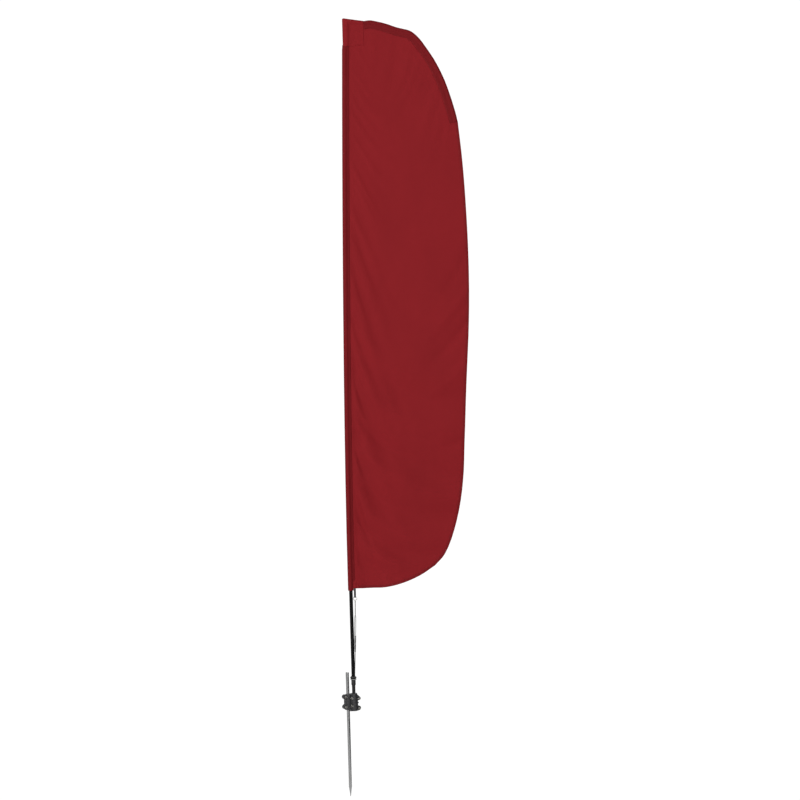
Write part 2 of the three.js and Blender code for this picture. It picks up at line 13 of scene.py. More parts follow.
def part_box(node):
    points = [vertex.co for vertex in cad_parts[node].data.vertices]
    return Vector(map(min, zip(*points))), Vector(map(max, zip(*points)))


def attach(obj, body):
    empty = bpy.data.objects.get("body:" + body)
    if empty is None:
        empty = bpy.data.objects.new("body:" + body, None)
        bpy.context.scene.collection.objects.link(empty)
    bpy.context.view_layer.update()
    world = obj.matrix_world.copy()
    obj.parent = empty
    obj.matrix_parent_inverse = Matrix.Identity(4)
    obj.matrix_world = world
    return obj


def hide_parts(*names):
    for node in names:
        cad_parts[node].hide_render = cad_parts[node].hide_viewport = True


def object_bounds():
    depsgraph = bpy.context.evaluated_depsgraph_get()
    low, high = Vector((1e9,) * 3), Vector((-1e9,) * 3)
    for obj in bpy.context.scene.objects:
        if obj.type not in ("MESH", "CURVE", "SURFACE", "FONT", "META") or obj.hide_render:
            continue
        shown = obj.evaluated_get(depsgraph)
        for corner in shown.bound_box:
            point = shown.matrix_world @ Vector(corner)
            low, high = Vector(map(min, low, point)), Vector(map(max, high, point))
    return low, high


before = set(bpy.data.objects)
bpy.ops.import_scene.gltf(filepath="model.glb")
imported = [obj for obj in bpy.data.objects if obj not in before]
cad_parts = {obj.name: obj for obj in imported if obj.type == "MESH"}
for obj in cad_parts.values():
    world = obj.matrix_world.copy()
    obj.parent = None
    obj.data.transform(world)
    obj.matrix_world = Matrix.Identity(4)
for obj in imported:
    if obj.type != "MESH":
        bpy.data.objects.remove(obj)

bl_info = {
    "name": "Feather Flag",
    "version": (1, 0, 0),
    "blender": (4, 5, 0),
    "location": "View3D > Sidebar > Feather Flag",
    "description": "Cloth, cord, clamp and finishes of a feather flag on a ground rod",
    "category": "Object",
}

MM = 0.001
CAD_BOX = [list(corner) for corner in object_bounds()]
CLAMP, SWIVEL, MAST, ROD = "clamp", "swivel", "mast", "ground_rod"


# ------------------------------------------------------------------ places from the frame
def low(node):
    return Vector(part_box(node)[0])


def high(node):
    return Vector(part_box(node)[1])


def middle(node):
    return (low(node) + high(node)) / 2


def corners_of(node):
    """The CAD node's vertices, each place once."""
    found = np.array([v.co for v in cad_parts[node].data.vertices])
    return np.unique(found.round(6), axis=0)


def spine(node, order_by):
    """The middle line of a swept sleeve, from its foremost vertices, in order along an axis."""
    points = corners_of(node)
    ridge = points[points[:, 1] < points[:, 1].min() + 0.1 * MM]
    ridge = ridge[np.argsort(ridge[:, order_by])]
    ridge[:, 1] = PLANE
    return ridge


def plate_outline(node):
    """The outline of an upright flat plate as ordered (x, z) points, from its front face."""
    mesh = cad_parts[node].data
    seen = {}
    for polygon in mesh.polygons:
        places = [mesh.vertices[i].co for i in polygon.vertices]
        if all(p.y < PLANE for p in places):
            keys = [(round(p.x, 5), round(p.z, 5)) for p in places]
            for a, b in zip(keys, keys[1:] + keys[:1]):
                seen[frozenset((a, b))] = seen.get(frozenset((a, b)), 0) + 1
    after = {}
    for edge in (tuple(e) for e, count in seen.items() if count == 1 and len(e) == 2):
        after.setdefault(edge[0], []).append(edge[1])
        after.setdefault(edge[1], []).append(edge[0])
    start = min(after)
    line, here, before = [start], after[start][0], start
    while here != start:
        line.append(here)
        onwards = [p for p in after[here] if p != before]
        before, here = here, onwards[0]
    return np.array(line)


SPINDLE = middle("spindle_pin")
PLANE = middle("sail_panel").y
FOOT = low("sail_panel").z
TOP = high("corner_pocket").z
AXIS = spine("pole_sleeve", 2)
SHOULDER = spine("batten_sleeve", 0)
SLEEVE_HALF = AXIS[0, 0] - low("pole_sleeve").x
POLE_R = (high("pole_section_1").y - low("pole_section_1").y) / 2
TOP_POLE_R = (high("pole_section_4").y - low("pole_section_4").y) / 2


def axis_x(z):
    """Where the pole's axis is at a height, above its straight foot as well."""
    below = np.where(z < AXIS[0, 2], SPINDLE.x, np.interp(z, AXIS[:, 2], AXIS[:, 0]))
    slope = (AXIS[-1, 0] - AXIS[-2, 0]) / (AXIS[-1, 2] - AXIS[-2, 2])
    return np.where(z > AXIS[-1, 2], AXIS[-1, 0] + slope * (z - AXIS[-1, 2]), below)


# ------------------------------------------------------------------ sizes and colours
def length(default, name, description, low_end=0.0, high_end=1.0):
    return FloatProperty(
        name=name, description=description, default=default, min=low_end, max=high_end,
        unit="LENGTH", subtype="DISTANCE", precision=4,
    )


def colour(default, name, description):
    return FloatVectorProperty(
        name=name, description=description, default=default, size=3, min=0, max=1,
        subtype="COLOR",
    )


class FeatherFlagSizes(bpy.types.PropertyGroup):
    """Sizes of the cloth, the seams and the cord."""

    cloth: length(0.0004, "Cloth", "Thickness of the flag's cloth")
    grain: length(0.011, "Cloth grid", "Spacing of the cloth's points", 0.004, 0.05)
    fold_depth: length(0.013, "Fold depth", "How deep the soft folds of the panel are")
    slack: FloatProperty(
        name="Slack", description="How much larger the cloth is than the space it fills",
        default=0.012, min=0, max=0.1,
    )
    hem: length(0.014, "Hem", "Width of the folded hem along the fly and the foot")
    flap: length(0.007, "Seam flap", "How far a sleeve's sewn edge lies on the panel")
    stitch: length(0.0034, "Stitch", "Pitch of the stitches", 0.001, 0.02)
    thread: length(0.00028, "Thread", "Radius of the sewing thread")
    cord: length(0.0018, "Cord radius", "Radius of the elastic cord")
    bevel: length(0.0009, "Edge rounding", "Rounding of the clamp's moulded edges")
    sides: IntProperty(
        name="Sides", description="Sides of the round pieces", default=48, min=12, max=128
    )


class FeatherFlagColours(bpy.types.PropertyGroup):
    """Colours of the finishes."""

    flag: colour((0.208, 0.0108, 0.0143), "Flag", "Colour of the panel")
    # Sleeve: the panel's red darkened to about three quarters, painted shade for the light that the
    # doubled cloth and the pole behind it keep out
    sleeve: colour((0.155, 0.0083, 0.0108), "Sleeve", "Colour of the sleeves, two layers deep")
    pole: colour((0.003, 0.003, 0.0032), "Pole", "Colour of the pole")
    clamp: colour((0.019, 0.019, 0.021), "Clamp", "Colour of the moulded clamp")
    steel: colour((0.31, 0.313, 0.316), "Steel", "Colour of the ground rod")
    zinc: colour((0.42, 0.415, 0.39), "Zinc", "Colour of the plated fasteners")
    cord: colour((0.33, 0.34, 0.335), "Cord", "Colour of the elastic cord")


def sizes():
    return bpy.context.scene.feather_flag_sizes


def colours():
    return bpy.context.scene.feather_flag_colours


# ------------------------------------------------------------------ shader maths
class Value:
    """A socket of a shader tree. An expression on values adds its Math nodes."""

    def __init__(self, finish, socket):
        self.finish, self.socket = finish, socket

    def maths(self, operation, *numbers):
        return self.finish.node("Math", {"operation": operation}, *numbers)

    def __add__(self, other):
        return self.maths("ADD", self, other)

    def __sub__(self, other):
        return self.maths("SUBTRACT", self, other)

    def __rsub__(self, other):
        return self.maths("SUBTRACT", other, self)

    def __mul__(self, other):
        return self.maths("MULTIPLY", self, other)

    def __truediv__(self, other):
        return self.maths("DIVIDE", self, other)

    def sine(self):
        return self.maths("SINE", self)

    __radd__, __rmul__ = __add__, __mul__


class Finish:
    """A node material with one Principled surface, written as expressions."""

    def __init__(self, name):
        self.material = bpy.data.materials.new(name)
        self.material.use_nodes = True
        self.tree = self.material.node_tree
        self.tree.nodes.clear()
        self.surface = self.tree.nodes.new("ShaderNodeBsdfPrincipled")
        self.output = self.tree.nodes.new("ShaderNodeOutputMaterial")
        self.tree.links.new(self.surface.outputs[0], self.output.inputs["Surface"])

    def feed(self, socket, value):
        if isinstance(value, Value):
            self.tree.links.new(value.socket, socket)
        elif value is not None:
            if socket.type == "RGBA" and len(value) == 3:
                value = (*value, 1)
            socket.default_value = value

    def node(self, kind, settings=None, *inputs, out=0, **named):
        """Adds a node; its settings come first, then its inputs in order or by name."""
        made = self.tree.nodes.new("ShaderNode" + kind)
        settings = dict(settings or {})
        stops = settings.pop("stops", None)
        for key, value in settings.items():
            setattr(made, key, value)
        if stops:
            for element, (place, shade) in zip(made.color_ramp.elements, (stops[0], stops[-1])):
                element.position, element.color = place, (shade, shade, shade, 1)
            for place, shade in stops[1:-1]:
                made.color_ramp.elements.new(place).color = (shade, shade, shade, 1)
        for socket, value in zip(made.inputs, inputs):
            self.feed(socket, value)
        for key, value in named.items():
            self.feed(made.inputs[key.replace("_", " ")], value)
        return Value(self, made.outputs[out])

    def set(self, **inputs):
        for key, value in inputs.items():
            self.feed(self.surface.inputs[key.replace("_", " ")], value)
        return self

    def place(self, stretch=(1, 1, 1)):
        """The place on the object, stretched, for patterns in the object's own space."""
        here = self.node("TexCoord", out=3)
        return self.node("Mapping", {}, here, Scale=stretch)

    def along(self, layer, stretch):
        """The place on the piece's own map, in metres along and across it."""
        here = self.node("UVMap", {"uv_map": layer})
        return self.node("Mapping", {}, here, Scale=stretch)

    def cloud(self, where, scale, detail=3.0, rough=0.5):
        return self.node(
            "TexNoise", {}, Vector=where, Scale=scale, Detail=detail, Roughness=rough
        )

    def part(self, vector, axis):
        split = self.node("SeparateXYZ", {}, vector)
        return Value(self, split.socket.node.outputs[axis])

    def ramp(self, value, *stops):
        return self.node("ValToRGB", {"stops": stops}, value)

    def mix(self, share, first, second):
        made = self.tree.nodes.new("ShaderNodeMix")
        made.data_type = "RGBA"
        for socket, value in ((0, share), (6, first), (7, second)):
            self.feed(made.inputs[socket], value)
        return Value(self, made.outputs[2])

    def bump(self, height, distance, strength=1.0, under=None):
        return self.node(
            "Bump", {}, Height=height, Distance=distance, Strength=strength, Normal=under
        )


FINISHES = {}


def finish(name):
    """The named material, made once."""
    if name not in FINISHES:
        FINISHES[name] = MAKERS[name](Finish(name)).material
    return FINISHES[name]


def shade(rgb, factor):
    return tuple(min(1.0, c * factor) for c in rgb)


def woven(paint, base):
    """Plain-weave polyester: fine threads, slubs and soft creases."""
    threads = paint.along("cloth", (1, 1, 1))
    u, v = paint.part(threads, 0), paint.part(threads, 1)
    pitch = 2 * math.pi / 0.0009
    weave = (u * pitch).sine() * (v * pitch).sine()
    soft = paint.cloud(paint.along("cloth", (3.0, 1.4, 1)), 2.2, 4.0)
    fine = paint.cloud(threads, 160.0, 3.0)
    slub = paint.cloud(paint.along("cloth", (60.0, 900.0, 1)), 1.0, 2.0)
    tone = soft * 0.55 + fine * 0.2 + slub * 0.25
    paint.set(
        Base_Color=paint.mix(tone, shade(base, 0.86), shade(base, 1.14)),
        Roughness=0.66 + fine * 0.16, Specular_IOR_Level=0.06,
    )
    crease = paint.bump(paint.cloud(threads, 26.0, 5.0, 0.55), 0.0016, 0.5)
    paint.set(Normal=paint.bump(weave * 0.5 + slub * 0.5, 0.00018, 0.6, under=crease))
    return paint


def flag_cloth(paint):
    return woven(paint, tuple(colours().flag))


# Painted shade: the panel's weave in the darker sleeve colour, standing in for the light the
# doubled sleeve and its pole keep out
def sleeve_cloth(paint):
    return woven(paint, tuple(colours().sleeve))


# Painted shade: the panel's weave darkened to 0.8, standing in for the light the folded hem keeps
# out
def hem_cloth(paint):
    return woven(paint, shade(colours().flag, 0.8))


def thread_red(paint):
    fuzz = paint.cloud(paint.place(), 900.0, 2.0)
    base = tuple(colours().flag)
    return paint.set(
        Base_Color=paint.mix(fuzz, shade(base, 0.7), shade(base, 1.5)),
        Roughness=0.55 + fuzz * 0.2, Sheen_Weight=0.2,
    )


def tab_webbing(paint):
    """Black webbing, with ribs across it and a ladder of threads along it."""
    where = paint.along("cloth", (1, 1, 1))
    rib = (paint.part(where, 1) * (2 * math.pi / 0.0014)).sine()
    ladder = (paint.part(where, 0) * (2 * math.pi / 0.0011)).sine()
    fuzz = paint.cloud(where, 700.0, 3.0)
    paint.set(
        Base_Color=paint.mix(fuzz, (0.003, 0.003, 0.003), (0.016, 0.016, 0.017)),
        Roughness=0.7 + fuzz * 0.2, Sheen_Weight=0.3,
    )
    return paint.set(Normal=paint.bump(rib * 0.6 + ladder * 0.4, 0.0003, 0.8))


def elastic_cord(paint):
    """Braided cover: crossing strands, some grey and some nearly white."""
    where = paint.along("braid", (1, 1, 1))
    run, round_it = paint.part(where, 1), paint.part(where, 0)
    one = (run * 1150.0 + round_it * (6 * 2 * math.pi)).sine()
    other = (run * 1150.0 - round_it * (6 * 2 * math.pi)).sine()
    strand = paint.ramp((one * other) * 0.5 + 0.5, (0.25, 0.0), (0.75, 1.0))
    soil = paint.cloud(paint.place(), 60.0, 4.0)
    base = tuple(colours().cord)
    clean = paint.mix(strand, shade(base, 0.55), shade(base, 1.25))
    paint.set(
        Base_Color=paint.mix(soil * 0.35, clean, (0.2, 0.19, 0.17)),
        Roughness=0.62 + soil * 0.2, Sheen_Weight=0.15,
    )
    return paint.set(Normal=paint.bump(strand, 0.0003, 0.7))


def splice_grey(paint):
    speck = paint.cloud(paint.place((1, 1, 0.3)), 500.0, 3.0)
    paint.set(
        Base_Color=paint.mix(speck, (0.035, 0.035, 0.036), (0.11, 0.11, 0.11)),
        Roughness=0.42 + speck * 0.25,
    )
    return paint.set(Normal=paint.bump(speck, 0.0002, 0.5))


def pole_black(paint):
    """Glassfibre in black gelcoat: fibres along it, fine scuffs and a soft gloss."""
    fibre = paint.cloud(paint.place((1, 1, 0.02)), 520.0, 4.0)
    scuff = paint.ramp(paint.cloud(paint.place((1, 1, 0.25)), 90.0, 6.0), (0.52, 0.0), (0.72, 1.0))
    base = tuple(colours().pole)
    paint.set(
        Base_Color=paint.mix(scuff * 0.35, shade(base, 1.0), shade(base, 5.0)),
        Roughness=0.3 + fibre * 0.12 + scuff * 0.2, Coat_Roughness=0.2,
        Coat_Weight=0.02, Specular_IOR_Level=0.08,
    )
    return paint.set(Normal=paint.bump(fibre, 0.0001, 0.35))


def moulded(paint, base, grain, gloss):
    """Moulded plastic: fine spark grain, with dust that sits in patches."""
    spark = paint.cloud(paint.place(), 1500.0, 2.0)
    dust = paint.ramp(paint.cloud(paint.place(), 45.0, 6.0), (0.45, 0.0), (0.75, 1.0))
    paint.set(
        Base_Color=paint.mix(dust * 0.4, base, shade(base, 2.4)),
        Roughness=gloss + spark * 0.12 + dust * 0.1,
    )
    return paint.set(Normal=paint.bump(spark, grain, 0.5))


def clamp_black(paint):
    return moulded(paint, tuple(colours().clamp), 0.00025, 0.42)


def fitting_black(paint):
    return moulded(paint, (0.008, 0.008, 0.0085), 0.00012, 0.34)


def bush_nylon(paint):
    return moulded(paint, (0.62, 0.6, 0.54), 0.0001, 0.4)


def cap_rubber(paint):
    return moulded(paint, (0.009, 0.009, 0.009), 0.0002, 0.7)


def batten_glassfibre(paint):
    fibre = paint.cloud(paint.place((1, 1, 1)), 400.0, 4.0)
    return paint.set(
        Base_Color=paint.mix(fibre, (0.5, 0.45, 0.33), (0.78, 0.74, 0.6)),
        Roughness=0.35 + fibre * 0.15, Normal=paint.bump(fibre, 0.0001, 0.4),
    )


def metal(paint, base, stretch, scale, gloss, stain=(0.18, 0.17, 0.155)):
    """Bare or plated metal: drawn lines, dull patches and a little soil."""
    lines = paint.cloud(paint.place(stretch), scale, 4.0, 0.6)
    patch = paint.ramp(paint.cloud(paint.place(), 28.0, 6.0, 0.6), (0.45, 0.0), (0.8, 1.0))
    drawn = paint.mix(lines, shade(base, 0.78), shade(base, 1.15))
    paint.set(
        Base_Color=paint.mix(patch * 0.3, drawn, stain),
        Metallic=1.0 - patch * 0.25,
        Roughness=gloss + lines * 0.12 + patch * 0.22,
    )
    return paint.set(Normal=paint.bump(lines, 0.00006, 0.4))


def bare_steel(paint):
    return metal(paint, tuple(colours().steel), (1, 1, 0.015), 700.0, 0.2)


def zinc_plate(paint):
    return metal(paint, tuple(colours().zinc), (1, 1, 1), 300.0, 0.26)


def ring_steel(paint):
    return metal(paint, (0.66, 0.66, 0.66), (1, 1, 1), 260.0, 0.18)


def spindle_black(paint):
    """Black oxide on steel, rubbed brighter where it turns."""
    rub = paint.cloud(paint.place((1, 1, 0.15)), 160.0, 5.0)
    worn = paint.ramp(rub, (0.55, 0.0), (0.8, 1.0))
    return paint.set(
        Base_Color=paint.mix(worn * 0.5, (0.008, 0.008, 0.0085), (0.07, 0.07, 0.072)),
        Metallic=0.35 + worn * 0.4, Roughness=0.32 + rub * 0.18,
        Normal=paint.bump(rub, 0.00008, 0.4),
    )


MAKERS = {
    maker.__name__: maker
    for maker in (
        flag_cloth, sleeve_cloth, hem_cloth, thread_red, tab_webbing, elastic_cord, splice_grey,
        pole_black, clamp_black, fitting_black, bush_nylon, cap_rubber, batten_glassfibre,
        bare_steel, zinc_plate, ring_steel, spindle_black,
    )
}


# ------------------------------------------------------------------ mesh helpers
def piece(name, points, faces, look, body, maps=None):
    """A finished mesh at the origin, riding on a body. maps is (layer, one (u, v) a corner)."""
    mesh = bpy.data.meshes.new(name)
    mesh.from_pydata([tuple(p) for p in points], [], [tuple(f) for f in faces])
    mesh.validate()
    if maps is not None:
        layer, values = maps
        uv = mesh.uv_layers.new(name=layer)
        uv.data.foreach_set("uv", np.asarray(values, float).ravel())
    return dressed(bpy.data.objects.new(name, mesh), look, body)


SHARP_FROM = math.radians(38)


def dressed(thing, look, body):
    """Links a mesh object, gives it its material and shading, and makes it ride on a body."""
    bpy.context.collection.objects.link(thing)
    thing.data.materials.clear()
    thing.data.materials.append(finish(look))
    thing.data.polygons.foreach_set("use_smooth", [True] * len(thing.data.polygons))
    thing.data.set_sharp_from_angle(angle=SHARP_FROM)
    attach(thing, body)
    return thing


def settled(thing, *modifiers):
    """Applies modifiers, given as (type, settings), and keeps the plain mesh."""
    for kind, settings in modifiers:
        modifier = thing.modifiers.new(kind.title(), kind)
        for key, value in settings.items():
            setattr(modifier, key, value)
    bpy.context.view_layer.update()
    graph = bpy.context.evaluated_depsgraph_get()
    result = bpy.data.meshes.new_from_object(thing.evaluated_get(graph))
    result.name = thing.data.name
    thing.modifiers.clear()
    thing.data = result
    return thing


def strip_faces(rows, columns, close_across=False, close_along=False):
    """Quads over a grid of rows by columns, its corners listed so that faces look out."""
    faces = []
    for i in range(rows if close_along else rows - 1):
        for j in range(columns if close_across else columns - 1):
            a, b = i * columns + j, i * columns + (j + 1) % columns
            c, d = ((i + 1) % rows) * columns + (j + 1) % columns, ((i + 1) % rows) * columns + j
            faces.append((a, b, c, d))
    return faces


def heading(line):
    """Unit directions along a line."""
    along = np.gradient(np.asarray(line, float), axis=0)
    return along / np.linalg.norm(along, axis=1)[:, None]


def leftward(along):
    """Flat directions, turned a quarter to the left."""
    return np.stack([-along[:, 1], along[:, 0]], axis=1)


def travelled(line):
    """How far along a line each of its points is."""
    return np.concatenate([[0], np.cumsum(np.linalg.norm(np.diff(line, axis=0), axis=1))])


def circle(sides):
    """Cosine and sine of evenly spaced turns."""
    angle = np.linspace(0, 2 * math.pi, sides, endpoint=False)
    return np.stack([np.cos(angle), np.sin(angle)], axis=1)


def frames_along(line):
    """Tangent, side and up directions along a line, without twist."""
    along = heading(line)
    side = np.cross(along[0], [0, 1, 0])
    if np.linalg.norm(side) < 0.1:
        side = np.cross(along[0], [1, 0, 0])
    sides = []
    for t in along:
        side = side - t * (side @ t)
        side = side / np.linalg.norm(side)
        sides.append(side)
    sides = np.array(sides)
    return along, sides, np.cross(along, sides)


def tube(line, radius, sides):
    """Points, faces and a map of a round tube with domed ends along a line."""
    line = np.asarray(line, float)
    radius = np.broadcast_to(radius, len(line))
    _, side, up = frames_along(line)
    turn = circle(sides)
    ring = turn[None, :, :1] * side[:, None] + turn[None, :, 1:] * up[:, None]
    points = (line[:, None] + ring * radius[:, None, None]).reshape(-1, 3)
    faces = strip_faces(len(line), sides, close_across=True)
    run = travelled(line)
    maps = []
    for f in faces:
        j = f[0] % sides
        for index, extra in zip(f, (0, 1, 1, 0)):
            maps.append(((j + extra) / sides, run[index // sides]))
    faces += [tuple(range(sides))[::-1], tuple(range(len(points) - sides, len(points)))]
    maps += [(0.5, 0.0)] * sides + [(0.5, float(run[-1]))] * sides
    return points, faces, maps


def smooth_line(points, step):
    """A smooth line through listed points, in steps of about the given length."""
    p = np.asarray(points, float)
    p = np.vstack([2 * p[0] - p[1], p, 2 * p[-1] - p[-2]])
    out = []
    for i in range(1, len(p) - 2):
        count = max(2, round(float(np.linalg.norm(p[i + 1] - p[i])) / step))
        t = np.linspace(0, 1, count, endpoint=False)[:, None]
        a, b, c, d = p[i - 1 : i + 3]
        out.append(
            0.5 * (2 * b + (c - a) * t + (2 * a - 5 * b + 4 * c - d) * t**2
                   + (3 * b - a - 3 * c + d) * t**3)
        )
    return np.vstack([*out, p[-2:-1]])


def spun(name, profile, look, body, centre=SPINDLE, sides=None):
    """A turned piece about a vertical axis; the profile is (radius, height) up its outside, then
    down its inside where it is hollow."""
    sides = sides or sizes().sides
    hollow = profile[0][0] > 0
    rings = profile if hollow else profile[1:-1]
    points = [(centre.x + r * x, centre.y + r * y, z) for r, z in rings for x, y in circle(sides)]
    faces = strip_faces(len(rings), sides, close_across=True, close_along=hollow)
    if not hollow:
        faces += [tuple(range(sides))[::-1], tuple(range(len(points) - sides, len(points)))]
    return piece(name, points, faces, look, body)


def softened(node, width, look, body, segments=2):
    """The CAD piece with its moulded or machined edges rounded."""
    shape = bmesh.new()
    shape.from_mesh(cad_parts[node].data)
    bmesh.ops.remove_doubles(shape, verts=shape.verts, dist=0.01 * MM)
    bmesh.ops.dissolve_limit(
        shape, angle_limit=math.radians(1), verts=shape.verts, edges=shape.edges
    )
    sharp = [
        e for e in shape.edges
        if len(e.link_faces) == 2 and e.calc_face_angle(0) > math.radians(34)
    ]
    bmesh.ops.bevel(
        shape, geom=sharp, offset=width, segments=segments, profile=0.6, affect="EDGES",
        clamp_overlap=True,
    )
    mesh = bpy.data.meshes.new(node + "_shape")
    shape.to_mesh(mesh)
    shape.free()
    made = dressed(bpy.data.objects.new(node + "_shape", mesh), look, body)
    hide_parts(node)
    return made


# ------------------------------------------------------------------ geometry nodes
def nodes_tree(name, inputs):
    """A geometry node tree with one geometry in and out, and its own named inputs."""
    tree = bpy.data.node_groups.new(name, "GeometryNodeTree")
    tree.interface.new_socket("Geometry", in_out="INPUT", socket_type="NodeSocketGeometry")
    for label, kind in inputs.items():
        tree.interface.new_socket(label, in_out="INPUT", socket_type="NodeSocket" + kind)
    tree.interface.new_socket("Geometry", in_out="OUTPUT", socket_type="NodeSocketGeometry")
    return tree


def repeated(name, seeds, tree, values, look, body):
    """Runs a tree on a seed mesh and keeps the result as a plain mesh piece."""
    thing = bpy.data.objects.new(name, seeds)
    bpy.context.collection.objects.link(thing)
    modifier = thing.modifiers.new("Repeat", "NODES")
    modifier.node_group = tree
    for item in tree.interface.items_tree:
        if item.in_out == "INPUT" and item.name in values:
            modifier[item.identifier] = values[item.name]
    bpy.context.view_layer.update()
    result = bpy.data.meshes.new_from_object(
        thing.evaluated_get(bpy.context.evaluated_depsgraph_get())
    )
    result.name = name
    thing.modifiers.clear()
    bpy.data.objects.remove(thing)
    return dressed(bpy.data.objects.new(name, result), look, body)


def row_tree():
    """One shape set along a run of points: it turns to their 'run' and stands to their 'out'."""
    if "Set along a row" in bpy.data.node_groups:
        return bpy.data.node_groups["Set along a row"]
    tree = nodes_tree("Set along a row", {"Shape": "Object", "Look": "Material", "Scale": "Float"})
    new, link = tree.nodes.new, tree.links.new
    source, sink = new("NodeGroupInput"), new("NodeGroupOutput")
    shape = new("GeometryNodeObjectInfo")
    link(source.outputs["Shape"], shape.inputs["Object"])
    turn = None
    for attribute, axis in (("out", "Z"), ("run", "X")):
        direction = new("GeometryNodeInputNamedAttribute")
        direction.data_type = "FLOAT_VECTOR"
        direction.inputs["Name"].default_value = attribute
        align = new("FunctionNodeAlignRotationToVector")
        align.axis = axis
        align.pivot_axis = "AUTO" if axis == "Z" else "Z"
        link(direction.outputs["Attribute"], align.inputs["Vector"])
        if turn is not None:
            link(turn, align.inputs["Rotation"])
        turn = align.outputs["Rotation"]
    placed = new("GeometryNodeInstanceOnPoints")
    link(source.outputs["Geometry"], placed.inputs["Points"])
    link(shape.outputs["Geometry"], placed.inputs["Instance"])
    link(turn, placed.inputs["Rotation"])
    link(source.outputs["Scale"], placed.inputs["Scale"])
    real, dress = new("GeometryNodeRealizeInstances"), new("GeometryNodeSetMaterial")
    link(placed.outputs["Instances"], real.inputs["Geometry"])
    link(real.outputs["Geometry"], dress.inputs["Geometry"])
    link(source.outputs["Look"], dress.inputs["Material"])
    link(dress.outputs["Geometry"], sink.inputs["Geometry"])
    return tree


def set_in_row(name, points, runs, outs, shape, look, body):
    """Sets a small shape at every point, along its run and standing out."""
    seeds = bpy.data.meshes.new(name + "_places")
    seeds.from_pydata([tuple(p) for p in points], [], [])
    for label, values in (("run", runs), ("out", outs)):
        attribute = seeds.attributes.new(label, "FLOAT_VECTOR", "POINT")
        attribute.data.foreach_set("vector", np.asarray(values, np.float32).ravel())
    values = {"Shape": shape, "Look": finish(look), "Scale": 1.0}
    return repeated(name, seeds, row_tree(), values, look, body)


def pattern(name, points, faces):
    """A small shape for rows: it stays out of the scene, because it isn't part of the object."""
    mesh = bpy.data.meshes.new(name)
    mesh.from_pydata([tuple(p) for p in points], [], [tuple(f) for f in faces])
    mesh.polygons.foreach_set("use_smooth", [True] * len(mesh.polygons))
    return bpy.data.objects.new(name, mesh)


def stitch_shape():
    """One stitch: a short thread that dips at both ends."""
    if "stitch" in bpy.data.objects:
        return bpy.data.objects["stitch"]
    thread, reach = sizes().thread, 0.36 * sizes().stitch
    x = np.linspace(-reach, reach, 5)
    line = np.stack([x, 0 * x, thread * (0.9 - 1.7 * (x / reach) ** 4)], axis=1)
    points, faces, _ = tube(line, thread * np.array([0.6, 1, 1, 1, 0.6]), 5)
    return pattern("stitch", points, faces)


# ------------------------------------------------------------------ the hanging cloth
class Cloth:
    """The panel's flat cut and the shape it hangs in, so that trims can be laid on it."""

    def __init__(self, outline, grain):
        self.outline = evened(outline, grain)
        loop = [Vector(p) for p in self.outline]
        inner = [Vector(p) for p in self.inside(grain)]
        count = len(loop)
        edges = [(i, (i + 1) % count) for i in range(count)]
        verts, _, faces, *_ = delaunay_2d_cdt(loop + inner, edges, [list(range(count))], 1, 1e-7)
        self.cut = np.array([(v.x, v.y) for v in verts])
        corner = self.cut[np.array([f[:3] for f in faces])]
        one, two = corner[:, 1] - corner[:, 0], corner[:, 2] - corner[:, 0]
        turned = one[:, 0] * two[:, 1] - one[:, 1] * two[:, 0]
        self.faces = [tuple(f) if t > 0 else tuple(f)[::-1] for f, t in zip(faces, turned)]
        self.area = float(np.abs(turned).sum() / 2)
        self.flat = np.stack([self.cut[:, 0], np.zeros(len(self.cut)), self.cut[:, 1]], axis=1)
        self.tree = BVHTree.FromPolygons([Vector(p) for p in self.flat], self.faces)
        self.hang(self.flat + [0, PLANE, 0])

    def inside(self, grain):
        """An even triangular grid of points, clear of the outline."""
        (x0, z0), (x1, z1) = self.outline.min(0), self.outline.max(0)
        rows = np.arange(z0, z1, grain * 0.866)
        grid = np.concatenate([
            np.stack([np.arange(x0 + (i % 2) * grain / 2, x1, grain)] * 2, axis=1) * [1, 0] + [0, z]
            for i, z in enumerate(rows)
        ])
        a, b = self.outline, np.roll(self.outline, -1, axis=0)
        x, z = grid[:, 0], grid[:, 1]
        within = np.zeros(len(grid), bool)
        nearest = np.full(len(grid), 1e9)
        for (ax, az), (bx, bz) in zip(a, b):
            crosses = (az > z) != (bz > z)
            with np.errstate(divide="ignore", invalid="ignore"):
                within ^= crosses & (x < (bx - ax) * (z - az) / (bz - az) + ax)
            nearest = np.minimum(nearest, (x - ax) ** 2 + (z - az) ** 2)
        return grid[within & (nearest > (0.6 * grain) ** 2)]

    def hang(self, shape):
        self.shape = np.asarray(shape, float)
        corner = self.shape[np.array(self.faces)]
        across = np.cross(corner[:, 1] - corner[:, 0], corner[:, 2] - corner[:, 0])
        normals = np.zeros_like(self.shape)
        for k in range(3):
            np.add.at(normals, np.array(self.faces)[:, k], across)
        normals /= np.linalg.norm(normals, axis=1)[:, None]
        self.normals = normals * np.where(normals[:, 1:2] > 0, -1, 1)

    def lay(self, places, heights):
        """Carries flat (x, z) places onto the hanging cloth, at heights towards its front."""
        laid = []
        for (x, z), height in zip(places, np.broadcast_to(heights, len(places))):
            here = Vector((x, 0, z))
            near, _, index, _ = self.tree.find_nearest(here)
            ids = self.faces[index]
            from_ = [Vector(self.flat[i]) for i in ids]
            on = barycentric(near, from_, [self.shape[i] for i in ids])
            normal = barycentric(near, from_, [self.normals[i] for i in ids])
            laid.append(on + np.array(here - near) + normal * height)
        return np.array(laid)

    def facing(self, places):
        return self.lay(places, 1.0) - self.lay(places, 0.0)


def barycentric(point, corners, values):
    a, b, c = corners
    total = (b - a).cross(c - a)
    size = total.length_squared
    u = (c - b).cross(point - b).dot(total) / size
    v = (a - c).cross(point - c).dot(total) / size
    first, second, third = (np.asarray(value) for value in values)
    return first * u + second * v + third * (1 - u - v)


